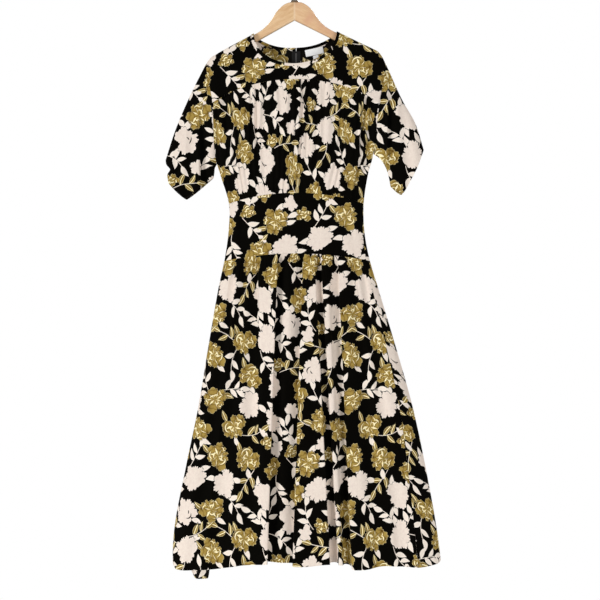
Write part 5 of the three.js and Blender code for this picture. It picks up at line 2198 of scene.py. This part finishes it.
@dataclass(frozen=True)
class Hanger:
    """The wooden hanger in two glued arms, with its hook and collar."""

    metal: Material
    wood: PaleWood
    half_width: float = 208.0
    thickness: float = 11.0
    edge: float = 3.5
    tip_length: float = 12.0
    crown_z: float = -61.0
    # the top edge's drop at distances from the middle: a crown, then a straight arm
    drops: tuple[tuple[float, float], ...] = (
        (0, 0), (17, 1.5), (31, 9), (45, 23), (56, 40), (69, 56), (88, 71), (120, 87.16), (208, 131.6),
    )
    under_z: float = -106.0
    under_slope: float = 0.53
    lean: float = 0.035
    joint_gap: float = 0.06
    wire: float = 1.9
    bend: float = 21.0
    bend_start: float = -38.0  # degrees
    bend_end: float = 205.0
    stem_in_wood: float = 22.0
    collar_gap: float = 0.3
    # the collar's section: a flange, a waist and a rounded cap; nothing across stands for its hole
    collar_section: tuple[tuple[float, float], ...] = (
        (0, 0), (10.0, 0), (10.5, 0.4), (10.5, 2.24), (10.1, 2.88), (9.03, 3.36), (8.61, 5.6),
        (7.77, 6.72), (5.775, 7.68), (4.41, 8.0), (0, 8.0), (0, 0),
    )
    sharp: float = 50.0  # degrees between faces whose edge stays sharp

    def hand_over(
        self, node: str, part: str, points: Array, material: Material, flipped: bool = False
    ) -> None:
        """Makes a closed piece, whose end rows may lie in one place, and hands it to the frame.

        The points of each such row become one, and sharp edges stay sharp.

        Args:
            node: the node that it stands for.
            part: what its name adds to the node's.
            points: its rows of points, the last column on the first.
            material: its material.
            flipped: whether its rows run the other way round.
        """
        points[:, -1] = points[:, 0]
        surface = Surface(points, points[..., [0, 2]], closed=True, flipped=flipped)
        piece = surface.build(f"{node}_{part}", (material,))
        work = bmesh.new()
        work.from_mesh(piece.data)
        bmesh.ops.remove_doubles(work, verts=work.verts, dist=2e-6)
        bmesh.ops.dissolve_degenerate(work, edges=work.edges, dist=1e-7)
        for edge in work.edges:
            if len(edge.link_faces) == 2 and edge.calc_face_angle() > math.radians(self.sharp):
                edge.smooth = False
        work.to_mesh(piece.data)
        work.free()
        settle_in(piece, "dress", node)

    def arm(self, side: int) -> None:
        """Builds one arm: upright sections with rounded edges, from the glue line to the rounded tip.

        Args:
            side: -1 for the left arm, 1 for the right.
        """
        tip, end = self.half_width, self.half_width - self.tip_length
        turned = end + self.tip_length - self.tip_length * np.cos(np.linspace(0, np.pi / 2, 14))[1:]
        out = np.concatenate([[self.joint_gap / 2], np.linspace(1.2, end, 130), turned])
        out[-1] = tip - 0.02
        drop = along([row[0] for row in self.drops], np.array([row[1] for row in self.drops], float), out)
        high, low = self.crown_z - drop, self.under_z - self.under_slope * out
        close = np.sqrt(clamp(1 - clamp((out - end) / self.tip_length) ** 2.4, 0.0004, 1.0))
        half, deep = (high - low) / 2 * close, self.thickness / 2 * np.minimum(1.0, close * 1.25)
        edge = np.minimum(np.minimum(self.edge, half), deep)[:, None]
        around = np.linspace(0, 2 * np.pi, 45)
        cosine, sinus = np.cos(around)[None], np.sin(around)[None]
        z = ((high + low) / 2)[:, None] + np.sign(np.round(sinus, 9)) * (half[:, None] - edge) + edge * sinus
        y = np.sign(np.round(cosine, 9)) * (deep[:, None] - edge) + edge * cosine
        x = side * out[:, None]
        points = joined(x, y, z + self.lean * x)
        centre = points[:, :-1].mean(axis=1)
        caps = [np.broadcast_to(centre[k], (1,) + points.shape[1:]) for k in (0, -1)]
        points = np.concatenate([caps[0], points, caps[1]])
        self.hand_over(f"hanger_arm_{hand(side)}", "wood", points, self.wood.make(side), side > 0)

    def hook(self) -> None:
        """Builds the hook as a tube along its line: a stem, an S bend, a round bend and a short open end."""
        centre_z, radius = -self.bend, self.bend + self.wire
        stem_top = centre_z - radius - 4
        stem = joined(0.0, np.linspace(self.crown_z - self.stem_in_wood, stem_top, 18))
        join = math.radians(self.bend_start)
        corner = np.array([radius * math.cos(join), centre_z + radius * math.sin(join)])
        t = np.linspace(0, 1, 18)[1:, None]
        a, b, c = np.array([0, stem_top]), np.array([0, stem_top + 6]), corner - np.array([7, 9])
        swing = (1 - t) ** 3 * a + 3 * (1 - t) ** 2 * t * b + 3 * (1 - t) * t * t * c + t**3 * corner
        turn = np.linspace(join, math.radians(self.bend_end), 54)[1:]
        bow = joined(radius * np.cos(turn), centre_z + radius * np.sin(turn))
        path = np.concatenate([stem, swing, bow])
        ahead = np.gradient(path, axis=0)
        ahead = ahead / np.linalg.norm(ahead, axis=-1, keepdims=True)
        tail = path[-1] + ahead[-1] * np.array([[0.8], [1.4], [1.7]])
        thick = self.wire * np.append(np.ones(len(path)), [0.9, 0.55, 0.02])[:, None]
        path, ahead = np.concatenate([path, tail]), np.concatenate([ahead, np.repeat(ahead[-1:], 3, axis=0)])
        around = np.linspace(0, 2 * np.pi, 25)[None]
        across = thick * np.cos(around)
        x, z = path[:, :1] + ahead[:, 1:] * across, path[:, 1:] - ahead[:, :1] * across
        points = joined(x, thick * np.sin(around), z)
        foot = np.broadcast_to(points[0, :-1].mean(axis=0), (1,) + points.shape[1:])
        self.hand_over("hanger_hook", "wire", np.concatenate([foot, points]), self.metal)

    def collar(self) -> None:
        """Builds the collar round the stem: its section turned round."""
        across, height = np.array(self.collar_section).T[..., None]
        across = np.where(across > 0, across, self.wire + self.collar_gap)
        around = np.linspace(0, 2 * np.pi, 49)[None]
        base = self.crown_z + self.collar_gap
        points = joined(across * np.cos(around), across * np.sin(around), base + height)
        self.hand_over("hanger_collar", "ring", points, self.metal)

    def build(self) -> None:
        """Builds both arms, the hook and the collar."""
        self.arm(-1)
        self.arm(1)
        self.hook()
        self.collar()


# ---------------- studio


@dataclass(frozen=True)
class Lamp:
    """A square soft light: its place and side in metres, and its power in watts."""

    name: str
    at: tuple[float, float, float]
    size: float
    power: float


@dataclass(frozen=True)
class Studio:
    """Camera, soft light and a plain pale floor."""

    camera_at: tuple[float, float, float] = (0.01375, -2.2, -0.805)
    view_width: float = 1.5  # width of the view at the dress, in metres
    aim: tuple[float, float, float] = (0.0, 0.0, -0.8)
    floor_z: float = -1.75
    floor_low: tuple[float, float] = (-1.6, -1.8)
    floor_high: tuple[float, float] = (1.6, 0.45)
    backdrop: float = 1.0
    ambient: float = 0.32
    lamps: tuple[Lamp, ...] = (
        Lamp("key", (-4.2, -3.4, -0.9), 1.4, 186.0),
        Lamp("fill", (2.2, -2.6, -0.9), 1.8, 41.0),
        Lamp("top", (0.3, -0.4, 1.6), 1.2, 6.0),
        Lamp("back_left", (1.6, 2.4, 1.5), 1.2, 60.0),
        Lamp("back_right", (-1.6, 2.4, 1.5), 1.2, 40.0),
    )

    def camera(self) -> None:
        """Sets up the camera, level and facing the front."""
        data = bpy.data.cameras.new("camera")
        data.angle = 2 * math.atan(self.view_width / 2 / -self.camera_at[1])
        data.clip_end = 50
        camera = placed(bpy.data.objects.new("camera", data))
        camera.location = self.camera_at
        camera.rotation_euler = (math.pi / 2, 0, 0)
        bpy.context.scene.camera = camera

    def light(self, lamp: Lamp) -> None:
        """Adds a lamp that faces the dress.

        Args:
            lamp: the lamp.
        """
        data = bpy.data.lights.new(lamp.name, "AREA")
        data.size, data.energy = lamp.size, lamp.power
        made = placed(bpy.data.objects.new(lamp.name, data))
        made.location = lamp.at
        made.rotation_euler = (Vector(self.aim) - Vector(lamp.at)).to_track_quat("-Z", "Y").to_euler()

    def world(self) -> None:
        """Sets a white surround: plain white to look at, and dimmer as a source of light."""
        world = bpy.data.worlds.new("surround")
        bpy.context.scene.world = world
        world.use_nodes = True
        nodes, links = world.node_tree.nodes, world.node_tree.links
        mix = nodes.new("ShaderNodeMixShader")
        links.new(nodes.new("ShaderNodeLightPath").outputs["Is Camera Ray"], mix.inputs[0])
        sources = (nodes.new("ShaderNodeBackground"), nodes["Background"])
        for source, entry, strength in zip(sources, mix.inputs[1:], (self.ambient, self.backdrop)):
            source.inputs["Color"].default_value = (1, 1, 1, 1)
            source.inputs["Strength"].default_value = strength
            links.new(source.outputs[0], entry)
        links.new(mix.outputs[0], nodes["World Output"].inputs["Surface"])

    def floor(self) -> None:
        """Lays the floor below the hem."""
        (low_x, low_y), (high_x, high_y) = self.floor_low, self.floor_high
        corners = ((low_x, low_y), (high_x, low_y), (high_x, high_y), (low_x, high_y))
        mesh = bpy.data.meshes.new("floor")
        mesh.from_pydata([(x, y, self.floor_z) for x, y in corners], [], [(0, 1, 2, 3)])
        finish = Finish("pale_floor")
        cloud = finish.noise(finish.body_place(), 3.0, 3.0)
        colour = finish.mixed(cloud, linear(238, 237, 235), linear(230, 229, 227))
        finish.shade(base_color=colour, roughness=0.8)
        mesh.materials.append(finish.material)
        placed(bpy.data.objects.new("floor", mesh))

    def build(self) -> None:
        """Sets up everything and a plain colour response."""
        self.camera()
        self.world()
        self.floor()
        for lamp in self.lamps:
            self.light(lamp)
        bpy.context.scene.view_settings.view_transform = "Standard"


# ---------------- the whole object


def main() -> None:
    """Builds every sub-assembly in order and reports each piece."""
    logging.basicConfig(level=logging.INFO, format="%(name)s %(message)s")
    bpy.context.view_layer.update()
    Studio().build()
    design, form = FlowerPrint(), BodyForm()
    right_side = PrintedCloth(design).make()
    wrong_side = PrintedCloth(design, name="printed_cloth_wrong_side", faded=0.02).make()
    tailor = Tailor(design, right_side, wrong_side)
    plated = Metal("plated_steel", linear(176, 172, 168), 0.16).make()
    Hanger(plated, PaleWood()).build()
    Bodice(form, tailor).build()
    Midriff(form, tailor).build()
    Skirt(form, tailor).build()
    for sleeve in both_sleeves(form, tailor):
        sleeve.build()
    NeckBinding(form, tailor).build()
    tape = WovenTape("zip_tape", linear(16, 15, 15)).make()
    coil = WovenTape("zip_coil", linear(70, 68, 68), 0.0004, 0.35).make()
    BackZip(form, tape, coil, Metal("zip_metal", linear(150, 148, 146), 0.3).make()).build()
    satin = WovenTape("label_satin", Palette.LABEL, 0.0005, 0.5).make()
    behind = form.wall + form.seam
    WovenLabel(form, satin, "size_tab", 54, -195, 14, 13, 0.5, behind).build()
    WovenLabel(form, satin, "neck_label", 50, -180, 46, 17, 0.6, behind + form.seam + 0.5).build()


if __name__ == "__main__":
    main()
